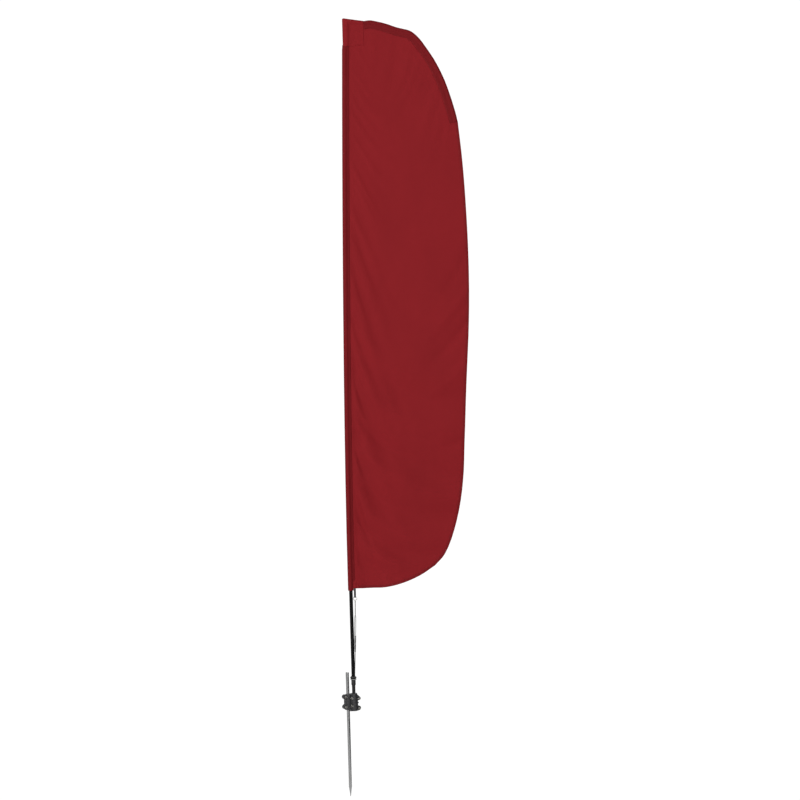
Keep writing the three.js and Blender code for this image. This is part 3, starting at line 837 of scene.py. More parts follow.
def evened(outline, step):
    """The outline with its corners kept and its long edges cut into even steps."""
    out = []
    for a, b in zip(outline, np.roll(outline, -1, axis=0)):
        count = max(1, round(float(np.linalg.norm(b - a)) / step))
        out += [a + (b - a) * i / count for i in range(count)]
    out = np.array(out)
    gap = np.linalg.norm(out - np.roll(out, 1, axis=0), axis=1)
    return out[gap > 0.25 * step]


def spaced(line, step):
    """Points at an even spacing along a line."""
    line = np.asarray(line, float)
    run = travelled(line)
    at = np.linspace(0, run[-1], max(2, round(run[-1] / step) + 1))
    return np.stack([np.interp(at, run, line[:, k]) for k in range(line.shape[1])], axis=1)


# Soft swags of the panel: height at the pole, drop, where it is lowest as a share of the width,
# half width of the fold, and depth as a share of the fold depth (towards the front).
SWAGS = [
    (2.74, 0.78, 1.35, 0.10, 0.42), (2.40, 0.60, 1.20, 0.08, -0.30),
    (1.98, 0.34, 0.80, 0.060, 0.55), (1.88, 0.30, 0.72, 0.055, -0.62),
    (1.70, 0.30, 0.85, 0.052, 0.60), (1.53, 0.37, 0.95, 0.050, -0.95),
    (1.38, 0.31, 0.85, 0.048, 1.00), (1.21, 0.23, 0.66, 0.046, -0.82),
    (1.11, 0.24, 0.64, 0.040, 0.62), (1.00, 0.21, 0.60, 0.044, -0.90),
    (0.90, 0.14, 0.50, 0.045, 0.70), (0.79, 0.06, 0.45, 0.035, -0.30),
]
# Shorter pulls that rise to the fly edge: height and share of the width where each begins, rise
# over the rest of the width, half width and depth.
PULLS = [
    (1.86, 0.52, 0.30, 0.040, 0.45), (1.74, 0.55, 0.26, 0.036, -0.50),
    (1.60, 0.58, 0.20, 0.034, 0.42), (1.30, 0.62, 0.10, 0.030, -0.45),
    (1.16, 0.60, -0.05, 0.026, 0.40), (2.02, 0.60, 0.34, 0.045, -0.32),
]


def fold(x, z):
    """How far the panel stands towards the front, as a share of the fold depth."""
    width = high("sail_panel").x - SPINDLE.x
    across = np.clip((x - axis_x(z) - SLEEVE_HALF) / width, 0, 1.2)
    warp = np.array([
        noise.noise(Vector((a * 2.1, b * 1.6, 3.7))) for a, b in zip(x, z)
    ])
    height = z + 0.035 * warp
    depth = np.zeros_like(x)
    for start, drop, lowest, half, share in SWAGS:
        line = start - drop * (1 - (1 - across / lowest) ** 2)
        spread = half * (0.55 + 0.75 * np.sqrt(across))
        fade = np.clip(across * 9, 0, 1) * (1 - 0.45 * across**3)
        depth += share * fade * np.exp(-(((height - line) / spread) ** 2))
    for start, begin, rise, half, share in PULLS:
        on = np.clip((across - begin) / (1 - begin), 0, 1)
        line = start + rise * on**1.4
        depth += share * np.sin(math.pi * np.clip(on * 0.62, 0, 1)) ** 1.2 * np.exp(
            -(((height - line) / half) ** 2)
        )
    fine = np.array([
        noise.fractal(Vector((a * 7.0, b * 5.0, 9.1)), 1.0, 2.0, 4) for a, b in zip(x, z)
    ])
    return depth + 0.10 * fine * np.clip(across * 6, 0, 1)


def near_line(points, line):
    """Each point's distance to a polyline."""
    best = np.full(len(points), 1e9)
    for a, b in zip(line[:-1], line[1:]):
        d = b - a
        t = np.clip(((points - a) @ d) / max(d @ d, 1e-12), 0, 1)
        best = np.minimum(best, np.linalg.norm(points - (a + t[:, None] * d), axis=1))
    return best


SETTLE_STEPS = 22
SETTLING = {
    "quality": 5, "mass": 0.12, "air_damping": 6, "tension_stiffness": 14,
    "compression_stiffness": 14, "shear_stiffness": 6, "bending_stiffness": 0.25,
    "vertex_group_mass": "held", "pin_stiffness": 2,
}


def settle_cloth(thing, held):
    """Lets the cloth settle between its sewn edges; returns where its points come to rest."""
    group = thing.vertex_groups.new(name="held")
    for index, weight in enumerate(held):
        if weight > 0.01:
            group.add([index], float(weight), "REPLACE")
    modifier = thing.modifiers.new("Settle", "CLOTH")
    for key, value in SETTLING.items():
        setattr(modifier.settings, key, value)
    modifier.settings.shrink_min = -sizes().slack
    modifier.collision_settings.use_collision = False
    modifier.point_cache.frame_start, modifier.point_cache.frame_end = 1, SETTLE_STEPS
    scene = bpy.context.scene
    for step in range(1, SETTLE_STEPS + 1):
        scene.frame_set(step)
    graph = bpy.context.evaluated_depsgraph_get()
    settled_mesh = thing.evaluated_get(graph).to_mesh()
    found = np.array([v.co for v in settled_mesh.vertices])
    thing.evaluated_get(graph).to_mesh_clear()
    thing.modifiers.clear()
    thing.vertex_groups.clear()
    scene.frame_set(1)
    return found


MADE = {}  # the hanging panel and the edges that its trims follow


def seam_lines():
    """The panel's outline and the lines where the sleeves are sewn to it."""
    outline = plate_outline("sail_panel")
    z = np.linspace(FOOT, low("corner_pocket").z, 60)
    luff = np.stack([axis_x(z) + SLEEVE_HALF, z], axis=1)
    out = leftward(heading(SHOULDER[:, [0, 2]]))
    inward = SHOULDER[:, [0, 2]] - out * BATTEN_HALF
    tip = SHOULDER[-1, [0, 2]] + out[-1] * BATTEN_HALF
    return outline, luff, inward, tip


BATTEN_HALF = near_line(corners_of("batten_sleeve")[:, [0, 2]], SHOULDER[:, [0, 2]]).max()


def free_edge(outline, tip, foot):
    """The hemmed part of the outline: from the batten's end down the fly and along the foot."""
    first = int(np.argmin(np.linalg.norm(outline - tip, axis=1)))
    last = int(np.argmin(np.linalg.norm(outline - foot, axis=1)))
    ways = []
    for step in (1, -1):
        line, i = [], first
        while i != last:
            line.append(outline[i])
            i = (i + step) % len(outline)
        ways.append(np.array([*line, outline[last]]))

    def reach(way):
        climbs = way[:, 1].max() > tip[1] + 0.05
        return way[:, 0].max() - 0.001 * len(way) * climbs

    return max(ways, key=reach)


def inward_of(line, outline):
    """Unit directions from a part of the outline to the panel's inside."""
    side = leftward(heading(line))
    centre = outline.mean(0)
    return side * np.where(((centre - line) * side).sum(1).mean() > 0, 1, -1)


# ------------------------------------------------------------------ stage and cord
VIEW_ROLL = math.radians(1.65)
VIEW_CENTRE = (SPINDLE.x + 0.273, 1.571)
VIEW_DISTANCE = 9.0
FLOOR_REACH = 60
WHITE = 1.05  # how bright the backdrop is to the camera
# The lamps: place, size and power.
LAMPS = {
    "key": ((-2.1, -5.5, 4.2), 3.4, 255),
    "fill": ((3.6, -5.2, 1.8), 3.5, 105),
    "back": ((1.5, 4.5, 4.5), 3.0, 190),
}
# How bright the sky is in reflections, from the far left (0) to the far right (1).
SKY_STOPS = ((0.0, 1.0), (0.5, 0.9), (0.62, 0.15), (0.8, 0.06), (1.0, 0.5))

# The cord's middle line from the spindle's axis, in metres: down behind the pole from the twist,
# round the collar's neck under its flange, and up again.
CORD_ROUTE = [
    (0.0164, -0.0008, 0.4985), (0.014, 0.0002, 0.47), (0.0122, 0.0015, 0.43),
    (0.0108, 0.0038, 0.38), (0.0076, 0.0088, 0.32), (0.0025, 0.0128, 0.27),
    (-0.003, 0.0158, 0.225), (-0.0064, 0.0178, 0.203), (-0.0077, 0.0176, 0.193),
    (-0.01, 0.0152, 0.186), (-0.0127, 0.0089, 0.1827), (-0.0146, 0, 0.1823),
    (-0.0106, -0.0099, 0.1823), (0, -0.0145, 0.1823), (0.0106, -0.0099, 0.1823),
    (0.0146, 0, 0.1823), (0.0127, 0.0089, 0.1827), (0.01, 0.0152, 0.186),
    (0.0077, 0.0176, 0.193), (0.0074, 0.0178, 0.203), (0.0084, 0.0154, 0.225),
    (0.0108, 0.0114, 0.27), (0.0134, 0.007, 0.32), (0.0162, 0.004, 0.38),
    (0.0188, 0.0022, 0.43), (0.0202, 0.0014, 0.47), (0.0206, 0.0008, 0.4985),
]


class FeatherFlagStage(bpy.types.Operator):
    """Pale floor, soft studio light and the camera"""

    bl_idname = "feather_flag.stage"
    bl_label = "Stage"

    def execute(self, context):
        view = bpy.data.cameras.new("view")
        view.lens, view.sensor_width = 81, 36
        view.clip_end = 100
        camera = bpy.data.objects.new("view", view)
        context.collection.objects.link(camera)
        across = Vector((math.cos(VIEW_ROLL), 0, -math.sin(VIEW_ROLL)))
        upward = Vector((math.sin(VIEW_ROLL), 0, math.cos(VIEW_ROLL)))
        turn = Matrix((across, upward, Vector((0, -1, 0)))).transposed()
        place = Vector((VIEW_CENTRE[0], PLANE - VIEW_DISTANCE, VIEW_CENTRE[1]))
        camera.matrix_world = Matrix.Translation(place) @ turn.to_4x4()
        context.scene.camera = camera
        context.scene.view_settings.view_transform = "Standard"
        self.floor(context)
        for name, lamp in LAMPS.items():
            self.light(context, name, *lamp)
        self.sky(context)
        return {"FINISHED"}

    def floor(self, context):
        """Pale to the camera; in reflections a studio's, bright on the left, dark on the right."""
        top = CAD_BOX[0][2] - 0.002
        corners = ((-1, -1), (1, -1), (1, 1), (-1, 1))
        mesh = bpy.data.meshes.new("floor")
        mesh.from_pydata(
            [(x * FLOOR_REACH, y * FLOOR_REACH, top) for x, y in corners], [], [(0, 1, 2, 3)]
        )
        floor = bpy.data.objects.new("floor", mesh)
        context.collection.objects.link(floor)
        paint = Finish("floor_pale")
        side = paint.ramp(paint.part(paint.place(), 0) / 4 + 0.5, (0.63, 0.8), (0.78, 0.03))
        paint.set(Base_Color=side, Roughness=0.9, Specular_IOR_Level=0.1)
        paint.set(Emission_Color=side, Emission_Strength=0.35)
        glow = paint.node("Emission", {}, Color=(1, 1, 1), Strength=WHITE)
        matt = Value(paint, paint.surface.outputs[0])
        seen = paint.node("MixShader", {}, paint.node("LightPath"), matt, glow)
        paint.feed(paint.output.inputs["Surface"], seen)
        floor.data.materials.append(paint.material)

    def light(self, context, name, place, size, power):
        lamp = bpy.data.lights.new(name, "AREA")
        lamp.size, lamp.energy, lamp.color = size, power, (1, 0.99, 0.98)
        thing = bpy.data.objects.new(name, lamp)
        context.collection.objects.link(thing)
        aim = Vector((0.3, 0, 1.8)) - Vector(place)
        turn = aim.to_track_quat("-Z", "Y").to_matrix().to_4x4()
        thing.matrix_world = Matrix.Translation(place) @ turn

    def sky(self, context):
        """White behind the object; a soft studio, brighter on the left, in its reflections."""
        world = bpy.data.worlds.new("studio")
        context.scene.world = world
        world.use_nodes = True
        new, link = world.node_tree.nodes.new, world.node_tree.links.new
        world.node_tree.nodes.clear()
        place, split = new("ShaderNodeTexCoord"), new("ShaderNodeSeparateXYZ")
        ramp, path = new("ShaderNodeValToRGB"), new("ShaderNodeLightPath")
        soft, white = new("ShaderNodeBackground"), new("ShaderNodeBackground")
        mix, out = new("ShaderNodeMixShader"), new("ShaderNodeOutputWorld")
        link(place.outputs["Generated"], split.inputs[0])
        half = new("ShaderNodeMapRange")
        half.inputs["From Min"].default_value = -1
        link(split.outputs["X"], half.inputs["Value"])
        link(half.outputs["Result"], ramp.inputs["Fac"])
        for i, (at, level) in enumerate(SKY_STOPS):
            stop = ramp.color_ramp.elements[i] if i < 2 else ramp.color_ramp.elements.new(at)
            stop.position, stop.color = at, (level, level, level, 1)
        link(ramp.outputs["Color"], soft.inputs["Color"])
        soft.inputs["Strength"].default_value = 0.55
        white.inputs["Color"].default_value = (1, 1, 1, 1)
        white.inputs["Strength"].default_value = WHITE
        link(path.outputs["Is Camera Ray"], mix.inputs["Fac"])
        link(soft.outputs[0], mix.inputs[1])
        link(white.outputs[0], mix.inputs[2])
        link(mix.outputs[0], out.inputs["Surface"])


class FeatherFlagCord(bpy.types.Operator):
    """Elastic cord from the ring, round the collar's neck and back, with its twist and splice"""

    bl_idname = "feather_flag.cord"
    bl_label = "Tension cord"

    def execute(self, context):
        radius = sizes().cord
        base = Vector((SPINDLE.x, SPINDLE.y, 0))
        route = smooth_line([Vector(p) + base for p in CORD_ROUTE], 0.003)
        down, up = self.twist(route, radius)
        line = spaced(np.vstack([down, route[1:-1], up]), 0.0018)
        for _ in range(12):
            line[1:-1] = (line[:-2] + 2 * line[1:-1] + line[2:]) / 4
        shape = tube(line, radius, 12)
        cord = piece("tension_cord_shape", shape[0], shape[1], "elastic_cord", MAST,
                     maps=("braid", shape[2]))
        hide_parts("tension_cord", "cord_twist")
        self.splice(line, radius)
        return {"FINISHED"}

    def twist(self, route, radius):
        """Both strands wound round each other below the ring, with a bight over its wire."""
        ring, wire = middle("tension_ring"), (high("tension_ring").y - low("tension_ring").y) / 2
        bottom = low("tension_ring").z + wire
        first, last = route[0], route[-1]
        reach = wire + radius + 0.0002
        base, peak = first[2] + 0.002, bottom - 0.009
        turns, steps = 3.5, 80
        share = np.linspace(0, 1, steps + 1)
        start = math.atan2(last[1] - first[1], last[0] - first[0]) + math.pi
        angle = start + turns * 2 * math.pi * share
        middle_x = (first[0] + last[0]) / 2 + (ring.x - (first[0] + last[0]) / 2) * share
        height = base + (peak - base) * share
        spread = radius * 1.1
        strands = [
            np.stack([middle_x + spread * np.cos(angle + way),
                      ring.y + spread * np.sin(angle + way), height], axis=1)
            for way in (0, math.pi)
        ]
        bights = []
        for strand in strands:
            side = 1 if strand[-1, 1] > ring.y else -1
            arc = [
                (ring.x, ring.y + side * reach * math.cos(a), bottom + reach * math.sin(a))
                for a in np.linspace(-0.3, math.pi / 2, 8)
            ]
            bights.append(np.vstack([strand, arc]))
        return bights[0][::-1], bights[1]

    def splice(self, line, radius):
        """A grey sleeve crimped over the join in the cord."""
        bottom, top = low("cord_splice_sleeve").z, high("cord_splice_sleeve").z
        rising = line[len(line) // 2:]
        run = spaced(rising[(rising[:, 2] > bottom) & (rising[:, 2] < top)], 0.0012)
        share = np.linspace(0, 1, len(run))
        crimp = sum(np.exp(-(((share - at) / 0.035) ** 2)) for at in (0.12, 0.5, 0.88))
        size = radius + 0.0011 - 0.0006 * crimp - 0.0006 * (np.minimum(share, 1 - share) < 0.01)
        points, faces, _ = tube(run, size, 20)
        made = piece("cord_splice_shape", points, faces, "splice_grey", MAST)
        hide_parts("cord_splice_sleeve")
        return made


# ------------------------------------------------------------------ flag
class FeatherFlagPanel(bpy.types.Operator):
    """The sail panel: cut flat, pulled into soft swags and settled as cloth"""

    bl_idname = "feather_flag.panel"
    bl_label = "Sail panel"

    def execute(self, context):
        outline, luff, inward, tip = seam_lines()
        grain = sizes().grain * 1
        cloth = Cloth(outline, grain)
        x, z = cloth.cut[:, 0], cloth.cut[:, 1]
        depth = sizes().fold_depth
        front = fold(x, z) * depth
        foot = (luff[0, 0] + 0.06, FOOT)
        corner = np.array([[luff[-1, 0], luff[-1, 1]], [inward[0, 0], inward[0, 1]]])
        sewn = np.minimum(near_line(cloth.cut, luff), near_line(cloth.cut, inward))
        sewn = np.minimum(sewn, near_line(cloth.cut, corner))
        sewn = np.minimum(sewn, near_line(cloth.cut, np.array([inward[-1], tip])))
        free = np.clip(sewn / 0.05, 0, 1)
        free = free * free * (3 - 2 * free)
        front = front * free * np.clip(np.hypot(x - foot[0], z - foot[1]) / 0.12, 0.1, 1)
        places = np.stack([x, PLANE - front, z], axis=1)
        places = self.at_rest(cloth, places, sewn, depth)
        cloth.hang(places)
        MADE["cloth"], MADE["luff"], MADE["head"] = cloth, luff, inward
        MADE["free"] = free_edge(cloth.outline, tip, luff[0])
        maps = [tuple(cloth.cut[i]) for f in cloth.faces for i in f]
        panel = piece("sail_panel_cloth", places, cloth.faces, "flag_cloth", MAST,
                      maps=("cloth", maps))
        settled(panel, ("SOLIDIFY", {"thickness": sizes().cloth, "offset": 0}))
        panel.data.polygons.foreach_set("use_smooth", [True] * len(panel.data.polygons))
        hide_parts("sail_panel")
        MADE["panel"] = panel
        return {"FINISHED"}

    def at_rest(self, cloth, places, sewn, depth):
        """Where the cloth settles; only part of each move is taken, so that the swags stay."""
        mesh = bpy.data.meshes.new("settling")
        mesh.from_pydata([tuple(p) for p in places], [], cloth.faces)
        thing = bpy.data.objects.new("settling", mesh)
        bpy.context.collection.objects.link(thing)
        held = np.clip(1.2 - sewn / 0.012, 0, 1)
        found = settle_cloth(thing, held)
        bpy.data.objects.remove(thing)
        move = found - places
        far = np.linalg.norm(move, axis=1)[:, None]
        move *= np.minimum(1, 0.5 * depth / np.maximum(far, 1e-9))
        move *= np.clip(sewn / 0.03, 0, 1)[:, None]
        calm = np.interp(places[:, 2], [1.7, 2.4, 3.3], [1, 0.5, 0.28])
        move *= calm[:, None] * [0.5, 1, 0.5]
        return places + move


class FeatherFlagHems(bpy.types.Operator):
    """Folded hem along the fly and the foot, with its stitches on both faces"""

    bl_idname = "feather_flag.hems"
    bl_label = "Hems and stitches"

    def execute(self, context):
        cloth, line = MADE["cloth"], spaced(MADE["free"], 0.006)
        inward = inward_of(line, cloth.outline)
        wide, thick = sizes().hem, sizes().cloth
        across = np.linspace(wide - 0.0006, 0.002, 6)
        section = [
            (wide, thick * 0.55), *[(inset, thick * 1.6) for inset in across],
            (0.0002, thick * 1.2), (-0.0006, 0.0), (0.0002, -thick * 1.4),
            *[(inset, -thick * 1.9) for inset in across[::-1]], (wide, -thick * 0.55),
        ]
        rings = [cloth.lay(line + inward * inset, height) for inset, height in section]
        points = np.stack(rings, axis=1).reshape(-1, 3)
        count = len(section)
        faces = strip_faces(len(line), count, close_across=True)
        run = travelled(line)
        maps = [
            (section[i % count][0] * (1 if i % count <= count // 2 else -1), run[i // count])
            for f in faces for i in f
        ]
        faces += [tuple(range(count))[::-1], tuple(range(len(points) - count, len(points)))]
        maps += [(0, 0)] * (2 * count)
        hem = piece("fly_and_foot_hem", points, faces, "hem_cloth", MAST, maps=("cloth", maps))
        right_way(hem)
        stitched = []
        for side, height in (("front", thick * 1.65), ("back", -thick * 1.95)):
            path = spaced(line + inward * (wide - 0.002), sizes().stitch)
            stitched.append(self.row(f"hem_stitches_{side}", cloth, path, height))
        MADE["trim"] = [hem, *stitched]
        return {"FINISHED"}

    def row(self, name, cloth, path, height):
        places = cloth.lay(path, height)
        outs = cloth.facing(path) * (1 if height > 0 else -1)
        return set_in_row(
            name, places, np.gradient(places, axis=0), outs, stitch_shape(), "thread_red", MAST
        )


def right_way(thing):
    """Turns a closed piece's faces outwards, after its doubles are merged."""
    shape = bmesh.new()
    shape.from_mesh(thing.data)
    bmesh.ops.recalc_face_normals(shape, faces=shape.faces)
    shape.to_mesh(thing.data)
    shape.free()


# Walls of the sleeves, the corner pocket and the foot patch, in thicknesses of the panel's cloth.
SLEEVE_PLY, POCKET_PLY, PATCH_PLY = 1.6, 1.8, 1.4
# The pocket's top falls away from the pole and is cut at its corner; the elbow lies below it and
# its arm dips by an angle in degrees.
POCKET_FALL, POCKET_CORNER = 0.016, 0.006
ELBOW_DROP, ARM_DIP = 0.012, 8


class FeatherFlagSleeves(bpy.types.Operator):
    """The pole's and the batten's sleeves, two layers deep, and the corner pocket"""

    bl_idname = "feather_flag.sleeves"
    bl_label = "Sleeves and pocket"

    def execute(self, context):
        trim = MADE["trim"]
        trim.append(self.pole_sleeve())
        trim.append(self.batten_sleeve())
        trim.append(self.pocket())
        trim += self.seams()
        return {"FINISHED"}

    def wrapped(self, name, rings, look, node, wall):
        """An open wrap of cloth through rings of points, given its thickness inwards."""
        rings = np.array(rings)
        rows, columns = rings.shape[:2]
        faces = strip_faces(rows, columns)
        girth = np.linalg.norm(np.diff(rings, axis=1), axis=2).mean(0)
        across = np.concatenate([[0], np.cumsum(girth)])
        along = travelled(rings.mean(1))
        maps = [(across[i % columns], along[i // columns]) for f in faces for i in f]
        made = piece(name, rings.reshape(-1, 3), faces, look, MAST, maps=("cloth", maps))
        settled(made, ("SOLIDIFY", {"thickness": wall, "offset": -1}))
        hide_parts(node)
        return made

    def pole_sleeve(self):
        """A teardrop round the pole: full at the pole, closing to the seam beside the panel."""
        base, top = low("pole_sleeve").z, high("pole_sleeve").z - 0.0005
        wall, flap, cloth = sizes().cloth * SLEEVE_PLY, sizes().flap, MADE["cloth"]
        share = np.linspace(0, 1, 25)
        rings = []
        for z in np.arange(base, top + 0.004, 0.008):
            z = min(z, top)
            x0 = float(axis_x(z))
            pole = float(np.interp(z, [FOOT, TOP], [POLE_R, TOP_POLE_R]))
            tuck = 0.0013 * min(1, max(0, (z - top + 0.02) / 0.008))
            left = SLEEVE_HALF - 0.0006 - tuck
            deep = pole + 0.0022 + 0.0012 * noise.noise(Vector((1.3, 0, z * 9))) - tuck
            ring = []
            for s in share:
                t = abs(2 * s - 1)
                if t > 0.72:
                    k = (t - 0.72) / 0.28
                    x = x0 + pole * 0.3 + (SLEEVE_HALF - pole * 0.3) * k**0.8
                    half = deep * (1 - k) ** 1.25 * (1 - 0.12 * math.sin(math.pi * k)) + wall * 1.1
                else:
                    turn = math.pi / 2 * t / 0.72
                    x = x0 + pole * 0.3 - (left + pole * 0.3) * math.cos(turn)
                    half = deep * math.sin(turn) + (wall * 1.1) * (t / 0.72)
                pucker = 0.0011 * noise.fractal(
                    Vector((x * 30, (1 if s < 0.5 else 5), z * 13)), 1.0, 2.0, 4
                ) * math.sin(math.pi * min(1, t * 1.1))
                side = -1 if s < 0.5 else 1
                ring.append((x, PLANE + side * (half + pucker), z))
            seam = x0 + SLEEVE_HALF
            if z - base > FOOT - base:
                ends = cloth.lay([(seam + flap, z)] * 2, [wall * 1.1, -wall * 1.1])
                mids = cloth.lay([(seam + flap / 2, z)] * 2, [wall * 1.4, -wall * 1.4])
            else:
                ends = [(seam + 0.0004, PLANE + side * wall * 1.05, z) for side in (-1, 1)]
                mids = [(seam + 0.0002, PLANE + side * wall * 1.1, z) for side in (-1, 1)]
            rings.append([ends[0], mids[0], *ring[1:-1], mids[1], ends[1]])
        return self.wrapped("pole_sleeve_cloth", rings, "sleeve_cloth", "pole_sleeve", wall)

    def batten_sleeve(self):
        """The shoulder's sleeve: round over the batten, flat beyond, sewn to the panel's head."""
        wall, flap, cloth = sizes().cloth * SLEEVE_PLY, sizes().flap, MADE["cloth"]
        line = spaced(smooth_line(SHOULDER[:, [0, 2]], 0.004), 0.005)
        line = np.vstack([
            line[0] + (line[0] - line[1]) * np.arange(3, 0, -1)[:, None], line,
            line[-1] + (line[-1] - line[-2]) * np.array([[0.6]]),
        ])
        along = heading(line)
        out = leftward(along)
        batten = spaced(spine("top_batten", 0)[:, [0, 2]], 0.001)
        edge = BATTEN_HALF - 0.0004
        cap = np.array(middle("batten_end_cap"))[[0, 2]]
        cap_half = (high("batten_end_cap").z - low("batten_end_cap").z) / 2 + 0.004
        rings = []
        for i, (place, way) in enumerate(zip(line, out)):
            layers = []
            tuck = min(1.0, i / 6)  # its first rings lie flat inside the corner pocket
            swell = 0.0038 + 0.0012 * math.exp(-((((cap - place) @ along[i]) / cap_half) ** 4))
            ahead = np.abs((batten - place) @ along[i])
            rod = float((batten[int(np.argmin(ahead))] - place) @ way)
            rod = min(rod, edge - 0.004)
            offsets = np.concatenate([
                np.linspace(-BATTEN_HALF, rod - 0.006, 6)[1:],
                np.linspace(rod - 0.004, rod + 0.0034, 7), np.linspace(rod + 0.0038, edge, 5),
            ])
            for side in (-1, 1):
                ripple = [
                    tuck * 0.0007
                    * noise.fractal(Vector((i * 0.12, o * 90, 3.0 + side)), 1.0, 2.0, 3)
                    for o in offsets
                ]
                half = (
                    wall * (0.5 + 0.6 * tuck) + swell * np.exp(-(((offsets - rod) / 0.0060) ** 4))
                    + np.where(offsets > edge - 0.001, -wall * 0.9, 0) + np.array(ripple)
                )
                flat = place + way * offsets[:, None]
                layers.append([(x, PLANE + side * h, z) for (x, z), h in zip(flat, half)])
            seam = place - way * BATTEN_HALF
            far = place - way * (BATTEN_HALF + flap)
            near = cloth.lay([far, seam], [wall * 1.1] * 2)
            back = cloth.lay([far, seam], [-wall * 1.1] * 2)
            rings.append([*near, *layers[0], *layers[1][::-1], *back[::-1]])
        return self.wrapped(
            "batten_sleeve_cloth", np.array(rings)[:, ::-1], "sleeve_cloth", "batten_sleeve", wall
        )

    def pocket(self):
        """A doubled corner patch that bulges over the elbow and the rod's end."""
        wall = sizes().cloth * POCKET_PLY
        left, edge_x = low("corner_pocket").x, high("corner_pocket").x
        edge_z, top = low("corner_pocket").z, high("corner_pocket").z
        right, base = edge_x + sizes().flap, edge_z - sizes().flap
        elbow = Vector((float(axis_x(top - ELBOW_DROP)), PLANE, top - ELBOW_DROP))
        lean = math.atan(float(axis_x(top) - axis_x(top - 0.05)) / 0.05)
        slope = math.tan(math.radians(ARM_DIP) + lean)
        half_most = (high("corner_pocket").y - low("corner_pocket").y) / 2 - 0.0004
        columns = np.linspace(0, 1, 33)
        near_top = [0.955, 0.968, 0.979, 0.988, 0.995, 1]
        rows = np.concatenate([np.linspace(0, 0.94, 36), near_top])
        points = []

        def rounded(distance, reach):
            t = min(1, max(0, (distance - 0.55 * reach) / (1.5 * reach)))
            return 1 - t * t * (3 - 2 * t)

        for side in (-1, 1):
            for v in rows:
                for u in columns:
                    x = left + (right - left) * u
                    across = (x - left) / (edge_x - left)
                    cut = POCKET_CORNER * max(0, 1 - across / 0.07) ** 2
                    ceiling = top - POCKET_FALL * across - cut
                    z = base + (ceiling - base) * v
                    sleeve = rounded(abs(x - float(axis_x(z)) - 0.001), 0.0125)
                    sleeve *= z < elbow.z + 0.006
                    reach = 0.0066 if x < elbow.x + 0.036 else 0.0052
                    arm = rounded(abs(z - elbow.z + slope * (x - elbow.x)), reach)
                    arm *= 1 if x < elbow.x + 0.034 else 0.8
                    bulge = max(sleeve, arm)
                    edge = min(1, u / 0.05, (1 - v) / 0.022)
                    flat = wall * 1.15
                    half = (flat + (half_most - flat) * bulge) * math.sqrt(max(edge, 0))
                    ripple = noise.fractal(Vector((x * 60, side * 3.0, z * 60)), 1.0, 2.0, 3)
                    half += 0.0006 * (ripple + 0.35) * edge * (1 - bulge)
                    points.append((x, PLANE + side * max(half, 0.0002), z))
        count, wide = len(rows) * len(columns), len(columns)
        front = strip_faces(len(rows), wide)
        back = [tuple(i + count for i in f)[::-1] for f in front]
        faces = front + back
        last = (len(rows) - 1) * wide
        for j in range(wide - 1):
            faces.append((last + j, last + j + 1, count + last + j + 1, count + last + j)[::-1])
        for i in range(len(rows) - 1):
            a, b = i * wide, (i + 1) * wide
            faces.append((a, b, count + b, count + a)[::-1])
        maps = [(points[i][0], points[i][2]) for f in faces for i in f]
        made = piece("corner_pocket_cloth", points, faces, "flag_cloth", MAST,
                     maps=("cloth", maps))
        right_way(made)
        settled(made, ("SOLIDIFY", {"thickness": wall, "offset": -1}))
        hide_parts("corner_pocket")
        return made

    def seams(self):
        """Rows of stitches through the sleeves' flaps, on both faces of the panel."""
        cloth, flap, wall = MADE["cloth"], sizes().flap, sizes().cloth * SLEEVE_PLY
        rows = []
        luff = spaced(MADE["luff"] + [flap - 0.002, 0], sizes().stitch)
        head = spaced(MADE["head"], sizes().stitch)
        head = head - leftward(heading(head)) * (flap - 0.002)
        for side, sign in (("front", 1), ("back", -1)):
            for label, path in (("luff", luff), ("head", head)):
                places = cloth.lay(path, sign * wall * 1.25)
                rows.append(set_in_row(
                    f"{label}_stitches_{side}", places, np.gradient(places, axis=0),
                    cloth.facing(path) * sign, stitch_shape(), "thread_red", MAST,
                ))
        return rows


